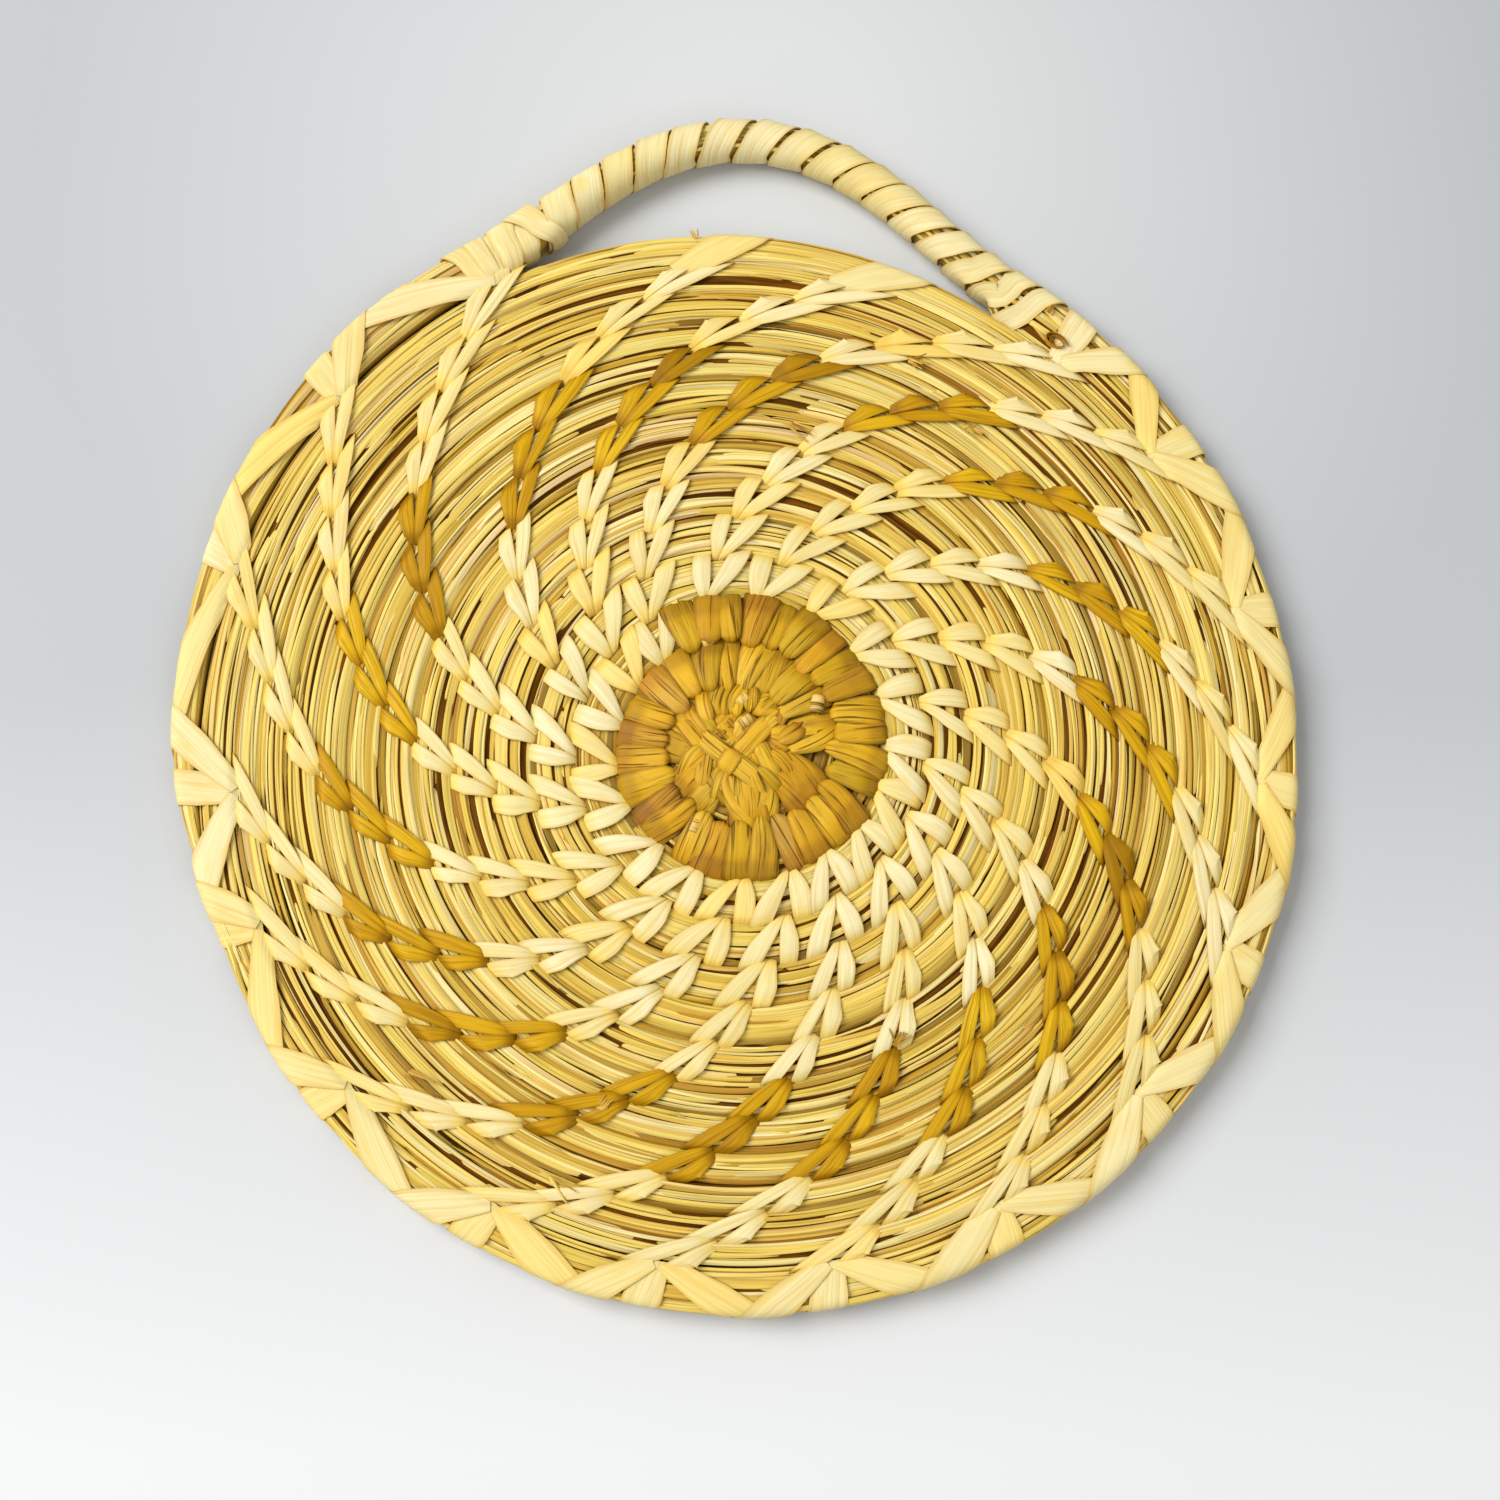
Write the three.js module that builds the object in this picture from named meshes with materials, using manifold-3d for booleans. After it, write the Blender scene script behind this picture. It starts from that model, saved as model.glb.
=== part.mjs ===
// A coiled basket plaque: a spiral of grass sewn with split strips of leaf, with a wrapped loop handle.
// Millimetres, +Z up. The plaque lies face up on its back stitches, with its centre at the origin, the
// handle towards +Y and the back at z = 0. Angles run anticlockwise from +X, seen from above.
import * as THREE from "three";
import * as BufferGeometryUtils from "three/addons/utils/BufferGeometryUtils.js";
import Module from "manifold-3d";

const wasm = await Module();
wasm.setup();

// Sewing strips and the clearance between pieces that touch on the real object
const STRIP = 0.6;
const CLEAR = 0.3;

// The coil: a bundle of grass whose rows get narrower towards the rim
const START_RADIUS = 10.8;
const START_ANGLE = 279;
const LEAD_IN_TURNS = 0.7;
const FULL_ROWS = 13;
const FIRST_ROW_PITCH = 11.5;
const ROW_PITCH_LOSS = 0.37;
const COIL_HEIGHT = 8.3;
const COIL_FLAT_SHARE = 0.6;
const COIL_STEPS_PER_TURN = 24;
const COIL_SIDES = 6;
const ROOT_SWELL = 5;
const ROOT_SWELL_TURNS = 0.17;
const BULGE_RISE = 6.5;
const BULGE_ANGLE = 110;
const BULGE_SPREAD = 75;

// The close winding over the first rows, and the plaited button that they start from
const WINDING_LOOPS = 24;
const WINDING_STRIP_ANGLE = 15;
const WINDING_LEAD = 0.04;
const WOUND_FADE_TURNS = 0.3;

// The stitch chains: split stitches, each growing out of the one in the row before
const CHAINS = 18;
const CHAIN_DRIFT = 6.1;
const FIRST_STITCH_TURN = 1.585;
const SHIFTS_AT_START = [
  2.5, 0.8, 0, 1.3, -0.4, 2.9, 3.2, 3.5, 2.7, 1, -0.7, -3.4, -6.5, -6.5, -5, -3, -1, -1.5,
];
const SHIFTS_AT_RIM = [-4.7, -6, -7, 1.5, 3, 5, 5, 1, 2, 3, 2, 1, 0, 0, -1, -1.5, -1.5, -1];
const SHIFT_ROWS = 11;
const STITCH_HEAD_HALF = 2.6;
const STITCH_TIP_HALF = 4.6;
const STITCH_TIP_REACH = 0.9;
const LAST_TIP_SHORT = 0.6;
const STITCH_NOTCH = 2.6;
const STITCH_POINT = 1.4;
const POST_WIDTH = 2.2;
const BACK_HALF = 1.8;
const INNER_ROWS = 5;
const GOLD_ROWS = 3;

// The rim: a strap over the edge at the end of each chain, and diagonals between them
const STRAP_WIDTH = 7.6;
const DIAGONAL_HEAD = 4.4;
const DIAGONAL_FOOT = 8.4;
const FOOT_WIDTH = 4;

// The handle: the coil's end, lifted off the rim as an arch and laid back along it as a thinning tail
const HANDLE_FROM = 60;
const HANDLE_TO = 118;
const HANDLE_RISE = 20;
const HANDLE_DIAMETER = 10.2;
const HANDLE_LIFT = 1.4;
const TAIL_TO = 206;
const TAIL_END_WIDTH = 3;
const TAIL_BOUND_ALONE = 5;
const ROOT_ANGLE = 4;
const ROUNDING_ANGLE = 10;
const HANDLE_STEP_ANGLE = 3.4;
const HANDLE_SIDES = 8;
const WRAP_FROM = 63.5;
const WRAP_TO = 109;
const WRAP_TURNS = 16;
const WRAP_SHARE = 0.8;

// Colours
const GRASS = 0xc9a24a;
const GRASS_DARK = 0xb48a3c;
const CREAM = 0xeedfae;
const GOLD = 0xc8921c;
const LEAF_ROUGHNESS = 0.62;
const GRASS_ROUGHNESS = 0.75;

// Heights of the layers, from the back stitches up
const COIL_BOTTOM = STRIP + CLEAR;
const COIL_TOP = COIL_BOTTOM + COIL_HEIGHT;
const COIL_MIDDLE = (COIL_BOTTOM + COIL_TOP) / 2;
const FACE_BOTTOM = COIL_TOP + CLEAR;
const FACE_TOP = FACE_BOTTOM + STRIP;
const ROW_GAP = STRIP + 2 * CLEAR;

// A flat strip stands off by this where the coil bends under it
const HALF_STEP = Math.PI / COIL_STEPS_PER_TURN;
const WOUND_FROM = -LEAD_IN_TURNS + WINDING_LEAD;
const WOUND_TO = FIRST_STITCH_TURN - WINDING_LEAD;
const WINDING_STEPS = WINDING_LOOPS * COIL_SIDES;
const WINDING_ADVANCE = 360 * (WOUND_TO - WOUND_FROM) / WINDING_STEPS;
const WINDING_SPAN = THREE.MathUtils.degToRad(WINDING_STRIP_ANGLE + WINDING_ADVANCE);
const WINDING_BULGE = groove(WOUND_TO + 1) * (1 - Math.cos(WINDING_SPAN / 2));
const WOUND_GAP = 2 * (STRIP + WINDING_BULGE) + 3 * CLEAR;
const STRAP_BULGE = STRAP_WIDTH / 2 * Math.tan(HALF_STEP);
const HANDLE_GAP = ROW_GAP + STRAP_BULGE;

// The coil in turns: turn 0 starts the first full row, and the end is where the handle leaves the rim
const COIL_FROM = -LEAD_IN_TURNS;
const COIL_TO = FULL_ROWS + THREE.MathUtils.euclideanModulo(HANDLE_FROM - START_ANGLE, 360) / 360;
const COIL_STEPS = Math.round((COIL_TO - COIL_FROM) * COIL_STEPS_PER_TURN);
const COIL_STEP = (COIL_TO - COIL_FROM) / COIL_STEPS;

// Points closer than this are one corner of a solid
const WELD = 1e-4;

const plaque = new THREE.Group();

// Helpers for angles and plan points

function smooth(low, high, value) {
  const x = Math.min(Math.max((value - low) / (high - low), 0), 1);
  return x * x * (3 - 2 * x);
}

function polar(radius, degrees) {
  const a = THREE.MathUtils.degToRad(degrees);
  return new THREE.Vector2(radius * Math.cos(a), radius * Math.sin(a));
}

// A plan point that lies a few millimetres along the circle from an angle
function beside(radius, degrees, along) {
  return polar(radius, degrees + THREE.MathUtils.radToDeg(along / radius));
}

function angleAt(turn) {
  return START_ANGLE + 360 * turn;
}

// Helpers for solids

function bodyOf(geometry) {
  const bare = new THREE.BufferGeometry();
  bare.setAttribute("position", geometry.attributes.position.clone());
  if (geometry.index) bare.setIndex(geometry.index.clone());
  const merged = BufferGeometryUtils.mergeVertices(bare, WELD);
  return new wasm.Manifold(new wasm.Mesh({
    numProp: 3,
    vertProperties: new Float32Array(merged.attributes.position.array),
    triVerts: new Uint32Array(merged.index.array),
  }));
}

function geometryOf(body) {
  const mesh = body.getMesh();
  const geometry = new THREE.BufferGeometry();
  geometry.setAttribute("position", new THREE.BufferAttribute(new Float32Array(mesh.vertProperties), 3));
  geometry.setIndex(new THREE.BufferAttribute(new Uint32Array(mesh.triVerts), 1));
  geometry.computeVertexNormals();
  return geometry;
}

function joined(geometries) {
  return geometryOf(geometries.map(bodyOf).reduce((whole, piece) => whole.add(piece)));
}

// A flat plate between two heights, from its plan outline
function plate(outline, low, high) {
  const geometry = new THREE.ExtrudeGeometry(new THREE.Shape(outline), {
    depth: high - low,
    bevelEnabled: false,
  });
  return geometry.translate(0, 0, low);
}

// A closed tube through rings of points, with flat ends. Rings run anticlockwise seen along the tube.
function tube(rings) {
  const sides = rings[0].length;
  const index = [];
  for (let r = 0; r + 1 < rings.length; r++) {
    for (let s = 0; s < sides; s++) {
      const a = r * sides + s;
      const b = r * sides + (s + 1) % sides;
      index.push(a, a + sides, b, b, a + sides, b + sides);
    }
  }
  const last = (rings.length - 1) * sides;
  for (let s = 1; s + 1 < sides; s++) {
    index.push(0, s, s + 1, last, last + s + 1, last + s);
  }
  const geometry = new THREE.BufferGeometry();
  const points = rings.flat().flatMap((p) => [p.x, p.y, p.z]);
  geometry.setAttribute("position", new THREE.Float32BufferAttribute(points, 3));
  geometry.setIndex(index);
  geometry.computeVertexNormals();
  return geometry;
}

function addPiece(name, geometry, color, roughness) {
  const material = new THREE.MeshStandardMaterial({ color, roughness, metalness: 0 });
  const mesh = new THREE.Mesh(geometry, material);
  mesh.name = name;
  plaque.add(mesh);
}

// The least gap between loops of one winding, measured on the corners of its rings
function leastGap(rings, ringsPerLoop) {
  let least = Infinity;
  for (let i = 0; i < rings.length; i++) {
    for (let j = i + ringsPerLoop - 1; j < Math.min(rings.length, i + 2 * ringsPerLoop); j++) {
      for (const p of rings[i]) {
        for (const q of rings[j]) {
          least = Math.min(least, p.distanceTo(q));
        }
      }
    }
  }
  return least;
}

// The spiral: the radius of the groove under a row, by turns from the start of the first full row. It isn't
// quite round: the rows bulge at the handle's left root, more so towards the rim.

function bulge(degrees) {
  const turned = THREE.MathUtils.euclideanModulo(degrees - BULGE_ANGLE, 360);
  const away = Math.min(turned, 360 - turned);
  return BULGE_RISE * Math.cos(Math.PI / 2 * Math.min(away / BULGE_SPREAD, 1)) ** 2;
}

function groove(turn) {
  const t = Math.max(turn, 0);
  const round = START_RADIUS + FIRST_ROW_PITCH * t - ROW_PITCH_LOSS * t * (t - 1) / 2;
  return round + bulge(angleAt(turn)) * (t / FULL_ROWS) ** 2;
}

// The groove is wider where the close winding shares it with the stitches of the next row
function grooveGap(turn) {
  const shared = 1 - smooth(FIRST_STITCH_TURN + 1, FIRST_STITCH_TURN + 1 + WOUND_FADE_TURNS, turn);
  return ROW_GAP + (WOUND_GAP - ROW_GAP) * shared;
}

// Where the bundle swells before it leaves the rim as the handle
function rootSwell(turn) {
  return ROOT_SWELL * smooth(COIL_TO - ROOT_SWELL_TURNS, COIL_TO, turn);
}

function rowInside(turn) {
  return groove(turn) + grooveGap(turn) / 2;
}

function rowOutside(turn) {
  return groove(turn + 1) - grooveGap(turn + 1) / 2 + rootSwell(turn);
}

// A corner of the coil's six-sided section, pushed out from its slanted sides and its flat faces
function coilCorner(turn, corner, sideOut, faceOut) {
  const inside = rowInside(turn);
  const outside = rowOutside(turn);
  const half = (outside - inside) / 2;
  const flat = half * COIL_FLAT_SHARE;
  const rise = COIL_HEIGHT / 2;
  const lean = Math.hypot(half - flat, rise);
  const across = half + sideOut * lean / rise;
  const shoulder = flat + (sideOut * lean - faceOut * (half - flat)) / rise;
  const spots = [
    [across, 0], [shoulder, rise + faceOut], [-shoulder, rise + faceOut],
    [-across, 0], [-shoulder, -rise - faceOut], [shoulder, -rise - faceOut],
  ];
  const [x, z] = spots[corner];
  const p = polar((inside + outside) / 2 + x, angleAt(turn));
  return new THREE.Vector3(p.x, p.y, COIL_MIDDLE + z);
}

// The same corner between two rings of the coil, on the straight edge that joins them
function coilEdge(turn, corner, sideOut, faceOut) {
  const step = (turn - COIL_FROM) / COIL_STEP;
  const before = COIL_FROM + Math.floor(step) * COIL_STEP;
  const a = coilCorner(before, corner, sideOut, faceOut);
  const b = coilCorner(before + COIL_STEP, corner, sideOut, faceOut);
  return a.lerp(b, step - Math.floor(step));
}

function makeCoil() {
  const rings = [];
  for (let i = 0; i <= COIL_STEPS; i++) {
    const turn = COIL_FROM + i * COIL_STEP;
    rings.push(Array.from({ length: COIL_SIDES }, (_, corner) => coilCorner(turn, corner, 0, 0)));
  }
  const gap = leastGap(rings, COIL_STEPS_PER_TURN);
  console.log(`coil: least gap between rows ${gap.toFixed(2)} mm`);
  addPiece("foundation_coil", tube(rings), GRASS, GRASS_ROUGHNESS);
}

// The plaited button in the middle that the coil starts round, as deep as the sewn coil
function makeButton() {
  const winding = rowInside(COIL_FROM) - CLEAR - WINDING_BULGE - STRIP;
  const radius = winding * Math.cos(WINDING_SPAN / 2) - CLEAR;
  const outline = [];
  for (let i = 0; i < COIL_STEPS_PER_TURN; i++) {
    outline.push(polar(radius, angleAt(COIL_FROM + i * COIL_STEP)));
  }
  addPiece("start_button", plate(outline, 0, FACE_TOP), GOLD, LEAF_ROUGHNESS);
}

// The close winding: one strip wound round the first rows of the coil
function makeCentreWinding() {
  const half = WINDING_STRIP_ANGLE / 720;
  const low = [CLEAR + WINDING_BULGE, CLEAR];
  const high = low.map((out) => out + STRIP);
  const rings = [];
  for (let i = 0; i <= WINDING_STEPS; i++) {
    const turn = WOUND_FROM + (WOUND_TO - WOUND_FROM) * i / WINDING_STEPS;
    const corner = (COIL_SIDES + 3 - i % COIL_SIDES) % COIL_SIDES;
    rings.push([
      coilEdge(turn - half, corner, ...high),
      coilEdge(turn + half, corner, ...high),
      coilEdge(turn + half, corner, ...low),
      coilEdge(turn - half, corner, ...low),
    ]);
  }
  console.log(`centre winding: least gap between loops ${leastGap(rings, COIL_SIDES).toFixed(2)} mm`);
  addPiece("centre_winding", tube(rings), GOLD, LEAF_ROUGHNESS);
}

// What lies outermost at an angle: the coil's last row, or the handle's tail laid along it

function lastTurnAt(degrees) {
  const turn = (degrees - START_ANGLE) / 360;
  return turn + Math.floor(COIL_TO - turn);
}

// The handle bundle's width and height, from its root on the rim to the thin end of its tail
function handleWidth(degrees) {
  const thin = smooth(HANDLE_TO, TAIL_TO, degrees);
  return HANDLE_DIAMETER + (TAIL_END_WIDTH - HANDLE_DIAMETER) * thin;
}

// How far the bundle has turned from the coil's section to the handle's round one
function handleRound(degrees) {
  const bound = HANDLE_TO - ROOT_ANGLE;
  const rounds = smooth(HANDLE_FROM, HANDLE_FROM + ROUNDING_ANGLE, degrees);
  return rounds * (1 - smooth(bound - ROUNDING_ANGLE, bound, degrees));
}

function handleHeight(degrees) {
  return COIL_HEIGHT + (HANDLE_DIAMETER - COIL_HEIGHT) * handleRound(degrees);
}

function handleArch(degrees) {
  const middle = (HANDLE_FROM + HANDLE_TO) / 2;
  const half = (HANDLE_TO - HANDLE_FROM) / 2;
  if (Math.abs(degrees - middle) >= half) return 0;
  return (1 + Math.cos(Math.PI * (degrees - middle) / half)) / 2;
}

function handleRadius(degrees) {
  const seat = rowOutside(lastTurnAt(degrees)) + HANDLE_GAP + handleWidth(degrees) / 2;
  return seat + HANDLE_RISE * handleArch(degrees);
}

function handleZ(degrees) {
  return COIL_MIDDLE + HANDLE_LIFT * handleRound(degrees);
}

// A thick tail is bound by itself, and its thin end together with the coil's last row
function outermost(degrees) {
  const d = THREE.MathUtils.euclideanModulo(degrees, 360);
  const turn = lastTurnAt(d);
  const inside = rowInside(turn);
  if (d < HANDLE_TO - ROOT_ANGLE || d > TAIL_TO) return { turn, inside, outside: rowOutside(turn) };
  const half = handleWidth(d) / 2;
  const outside = handleRadius(d) + half;
  if (2 * half < TAIL_BOUND_ALONE) return { turn, inside, outside };
  return { turn: turn + 1, inside: handleRadius(d) - half, outside };
}

// The stitch chains

// A stitch of a chain: its turn along the coil, its angle, and the groove that it comes out of
function stitch(chain, row) {
  const spacing = (360 - CHAIN_DRIFT) / CHAINS;
  const start = SHIFTS_AT_START[chain % SHIFTS_AT_START.length];
  const rim = SHIFTS_AT_RIM[chain % SHIFTS_AT_RIM.length];
  const shift = start + (rim - start) * row / SHIFT_ROWS;
  const turn = FIRST_STITCH_TURN + (spacing * (chain + row * CHAINS) + shift) / 360;
  return { turn, angle: angleAt(turn), radius: groove(turn) };
}

// A point on a chain's middle line, a few millimetres nearer the centre than one of its stitches
function chainPoint(chain, row, back) {
  const before = stitch(chain, row - 1);
  const here = stitch(chain, row);
  const share = back / (here.radius - before.radius);
  const drift = before.angle + 360 - here.angle;
  return { radius: here.radius - back, angle: here.angle + drift * share };
}

// How many open stitches a chain has before the outermost bundle, which the rim strap holds
function rowsOf(chain) {
  let rows = 0;
  while (stitch(chain, rows).turn < outermost(stitch(chain, rows).angle).turn - 0.5) rows++;
  return rows;
}

// A short post through a groove, flat against the inner side of the row outside it
function post(turn, inside) {
  const centre = inside - CLEAR - STRIP / 2;
  const first = COIL_FROM + Math.floor((turn - COIL_FROM) / COIL_STEP) * COIL_STEP;
  const a = polar(centre, angleAt(first));
  const b = polar(centre, angleAt(first + COIL_STEP));
  const along = b.clone().sub(a);
  const length = along.length();
  along.normalize();
  const room = POST_WIDTH / 2;
  const place = THREE.MathUtils.clamp(length * (turn - first) / COIL_STEP, room, length - room);
  const middle = a.clone().addScaledVector(along, place);
  const out = new THREE.Vector2(along.y, -along.x);
  const thick = STRIP / 2;
  const corner = (x, y) => middle.clone().addScaledVector(along, x * room).addScaledVector(out, y * thick);
  const outline = [corner(-1, -1), corner(1, -1), corner(1, 1), corner(-1, 1)];
  return plate(outline, STRIP / 2, FACE_TOP - STRIP / 2);
}

// The radius of a post's inner face, at the least where the coil's straight sides cut the corner
function postInside(turn) {
  return (rowInside(turn) - CLEAR - STRIP) * Math.cos(HALF_STEP);
}

// The face of a run of stitches: each one widens to two tips beyond the head of the next one
function runFace(chain, from, to, endsAtRim) {
  const right = [];
  const left = [];
  for (let row = from; row <= to; row++) {
    const opensRun = row === from;
    const closesRun = row === to && !endsAtRim;
    const head = chainPoint(chain, row, opensRun ? -STITCH_POINT / 2 : 0);
    const next = stitch(chain, row + 1);
    const tips = closesRun ? next.radius - LAST_TIP_SHORT : next.radius + STITCH_TIP_REACH;
    for (const [side, points] of [[1, right], [-1, left]]) {
      points.push(beside(head.radius, head.angle, side * STITCH_HEAD_HALF));
      points.push(beside(tips, next.angle, side * STITCH_TIP_HALF));
    }
  }
  const point = chainPoint(chain, from, STITCH_POINT);
  const notch = chainPoint(chain, to + 1, STITCH_NOTCH);
  const end = endsAtRim ? [] : [polar(notch.radius, notch.angle)];
  const outline = [polar(point.radius, point.angle), ...right, ...end, ...left.reverse()];
  return plate(outline, FACE_BOTTOM, FACE_TOP);
}

// The back of a run: a plain strip under the chain's first, middle and last stitches
function runBack(chain, from, to) {
  const right = [];
  const left = [];
  const first = stitch(chain, from);
  const middle = Math.min(Math.round((from + to + 1) / 2), to);
  const spots = [
    chainPoint(chain, from, first.radius - postInside(first.turn)),
    chainPoint(chain, middle, 0),
    chainPoint(chain, to + 1, STITCH_NOTCH),
  ];
  for (const spot of spots) {
    right.push(beside(spot.radius, spot.angle, BACK_HALF));
    left.push(beside(spot.radius, spot.angle, -BACK_HALF));
  }
  return plate([...right, ...left.reverse()], 0, STRIP);
}

function runPieces(chain, from, to, endsAtRim) {
  const first = stitch(chain, from);
  return [
    runFace(chain, from, to, endsAtRim),
    runBack(chain, from, to),
    post(first.turn, rowInside(first.turn)),
  ];
}

// The radius where a strip of some width that passes over the rim at an angle clears the outermost bundle
function edgeFor(angle, width) {
  const reach = THREE.MathUtils.radToDeg(width / 2 / groove(COIL_TO));
  const sides = [angle - reach, angle, angle + reach].map((at) => outermost(at).outside);
  return Math.max(...sides) + CLEAR + width / 2 * Math.tan(HALF_STEP);
}

// The rim strap at the end of a chain: a band round the outermost bundle
function strapPieces(angle) {
  const rim = outermost(angle);
  const half = STRAP_WIDTH / 2;
  const edge = edgeFor(angle, STRAP_WIDTH);
  const root = rim.inside - CLEAR - STRIP;
  const band = (low, high) => [
    beside(low, angle, half), beside(high, angle, half),
    beside(high, angle, -half), beside(low, angle, -half),
  ];
  const face = band(root, edge + STRIP);
  return [
    plate(face, FACE_BOTTOM, FACE_TOP),
    plate(face, 0, STRIP),
    plate(band(edge, edge + STRIP), STRIP / 2, FACE_TOP - STRIP / 2),
  ];
}

// A diagonal from a chain's end to the edge half way to the next chain, front and back, tied over the edge
function diagonalPieces(angle, meetAngle) {
  const side = Math.sign(meetAngle - angle);
  const root = outermost(angle).inside - CLEAR - STRIP;
  const near = meetAngle - side * THREE.MathUtils.radToDeg(CLEAR / root);
  const edge = edgeFor(near - side * THREE.MathUtils.radToDeg(FOOT_WIDTH / 2 / root), FOOT_WIDTH);
  const outline = [
    beside(root, angle, 0),
    beside(root, angle, side * DIAGONAL_HEAD),
    beside(edge + STRIP, near, 0),
    beside(edge + STRIP, near, -side * DIAGONAL_FOOT),
  ];
  const foot = [
    beside(edge, near, 0),
    beside(edge + STRIP, near, 0),
    beside(edge + STRIP, near, -side * FOOT_WIDTH),
    beside(edge, near, -side * FOOT_WIDTH),
  ];
  return [
    plate(outline, FACE_BOTTOM, FACE_TOP),
    plate(outline, 0, STRIP),
    plate(foot, STRIP / 2, FACE_TOP - STRIP / 2),
  ];
}

function underHandle(angle) {
  const d = THREE.MathUtils.euclideanModulo(angle, 360);
  return d > HANDLE_FROM && d < HANDLE_TO - ROOT_ANGLE;
}

function makeChains() {
  for (let chain = 0; chain < CHAINS; chain++) {
    const rows = rowsOf(chain);
    const outer = INNER_ROWS + GOLD_ROWS;
    const label = String(chain + 1).padStart(2, "0");
    const end = stitch(chain, rows);
    const straps = strapPieces(end.angle);
    const diagonals = [];
    for (const other of [chain - 1, chain + 1]) {
      const near = (other + CHAINS) % CHAINS;
      const away = stitch(near, rowsOf(near)).angle - end.angle;
      const middle = end.angle + (THREE.MathUtils.euclideanModulo(away + 180, 360) - 180) / 2;
      if (underHandle(end.angle) || underHandle(middle)) continue;
      diagonals.push(...diagonalPieces(end.angle, middle));
    }
    const innerRun = joined(runPieces(chain, 0, INNER_ROWS - 1, false));
    const goldRun = joined(runPieces(chain, INNER_ROWS, outer - 1, false));
    const rimTie = joined([...runPieces(chain, outer, rows - 1, true), ...straps, ...diagonals]);
    addPiece(`stitch_chain_${label}_inner`, innerRun, CREAM, LEAF_ROUGHNESS);
    addPiece(`stitch_chain_${label}_gold`, goldRun, GOLD, LEAF_ROUGHNESS);
    addPiece(`rim_tie_${label}`, rimTie, CREAM, LEAF_ROUGHNESS);
  }
}

// The handle

// A point on the bundle's section, which is square to the coil's end at the root, then to its own run
function handleSpot(degrees, side, out) {
  const centre = polar(handleRadius(degrees), degrees);
  const further = degrees + HANDLE_STEP_ANGLE / HANDLE_SIDES;
  const run = polar(handleRadius(further), further).sub(centre).normalize();
  const free = smooth(HANDLE_FROM, HANDLE_FROM + ROOT_ANGLE, degrees);
  const along = polar(1, degrees + 90).lerp(run, free).normalize();
  const across = new THREE.Vector2(along.y, -along.x);
  const turn = 2 * Math.PI * side / HANDLE_SIDES;
  const grow = out / Math.cos(Math.PI / HANDLE_SIDES);
  const x = (handleWidth(degrees) / 2 + grow) * Math.cos(turn);
  const z = (handleHeight(degrees) / 2 + grow) * Math.sin(turn);
  return new THREE.Vector3(centre.x + across.x * x, centre.y + across.y * x, handleZ(degrees) + z);
}

function makeHandleCore() {
  const from = HANDLE_FROM + THREE.MathUtils.radToDeg(CLEAR / handleRadius(HANDLE_FROM));
  const steps = Math.round((TAIL_TO - from) / HANDLE_STEP_ANGLE);
  const rings = [];
  for (let i = 0; i <= steps; i++) {
    const degrees = from + (TAIL_TO - from) * i / steps;
    rings.push(Array.from({ length: HANDLE_SIDES }, (_, side) => handleSpot(degrees, side, 0)));
  }
  addPiece("handle_core", tube(rings), GRASS_DARK, GRASS_ROUGHNESS);
}

// The handle's wrapping: one strip wound round the arch from root to root
function makeHandleWrap() {
  const steps = WRAP_TURNS * HANDLE_SIDES;
  const pitch = (WRAP_TO - WRAP_FROM) / WRAP_TURNS;
  const half = pitch * WRAP_SHARE / 2;
  const rings = [];
  for (let i = 0; i <= steps; i++) {
    const degrees = WRAP_FROM + (WRAP_TO - WRAP_FROM) * i / steps;
    const side = i % HANDLE_SIDES;
    rings.push([
      handleSpot(degrees - half, side, CLEAR),
      handleSpot(degrees + half, side, CLEAR),
      handleSpot(degrees + half, side, CLEAR + STRIP),
      handleSpot(degrees - half, side, CLEAR + STRIP),
    ]);
  }
  console.log(`handle wrap: least gap between loops ${leastGap(rings, HANDLE_SIDES).toFixed(2)} mm`);
  addPiece("handle_wrap", tube(rings), CREAM, LEAF_ROUGHNESS);
}

makeCoil();
makeButton();
makeCentreWinding();
makeChains();
makeHandleCore();
makeHandleWrap();

export default plaque;
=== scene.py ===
"""The looks of a coiled basket plaque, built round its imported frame.

The plaque lies face up. Lengths in this script are millimetres, angles are degrees and places along
the coil are turns, as in the part's source. Meshes and the stage are made in metres.
"""
import math

import bpy
import numpy as np
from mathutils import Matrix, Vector


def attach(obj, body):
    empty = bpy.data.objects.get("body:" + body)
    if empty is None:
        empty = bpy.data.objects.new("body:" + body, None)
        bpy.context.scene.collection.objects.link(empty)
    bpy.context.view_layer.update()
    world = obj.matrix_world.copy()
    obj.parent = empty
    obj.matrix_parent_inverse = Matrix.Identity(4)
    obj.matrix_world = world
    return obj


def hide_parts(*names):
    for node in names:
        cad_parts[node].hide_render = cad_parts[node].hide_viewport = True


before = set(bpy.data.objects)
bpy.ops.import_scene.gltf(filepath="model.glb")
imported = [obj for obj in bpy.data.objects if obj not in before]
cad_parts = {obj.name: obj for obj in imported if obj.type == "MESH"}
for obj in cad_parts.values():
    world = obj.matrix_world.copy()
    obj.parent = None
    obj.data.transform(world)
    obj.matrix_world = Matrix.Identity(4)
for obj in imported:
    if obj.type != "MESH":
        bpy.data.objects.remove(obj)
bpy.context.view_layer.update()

METRES = 0.001
UP = np.array([0.0, 0.0, 1.0])
FLOOR_CLEAR = 0.02
TINY = 1e-9
# Ranges of a wave's random phase and of the random seed of a strip's noise
PHASES = (0, 6.28)
SEEDS = (0, 500)

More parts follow.
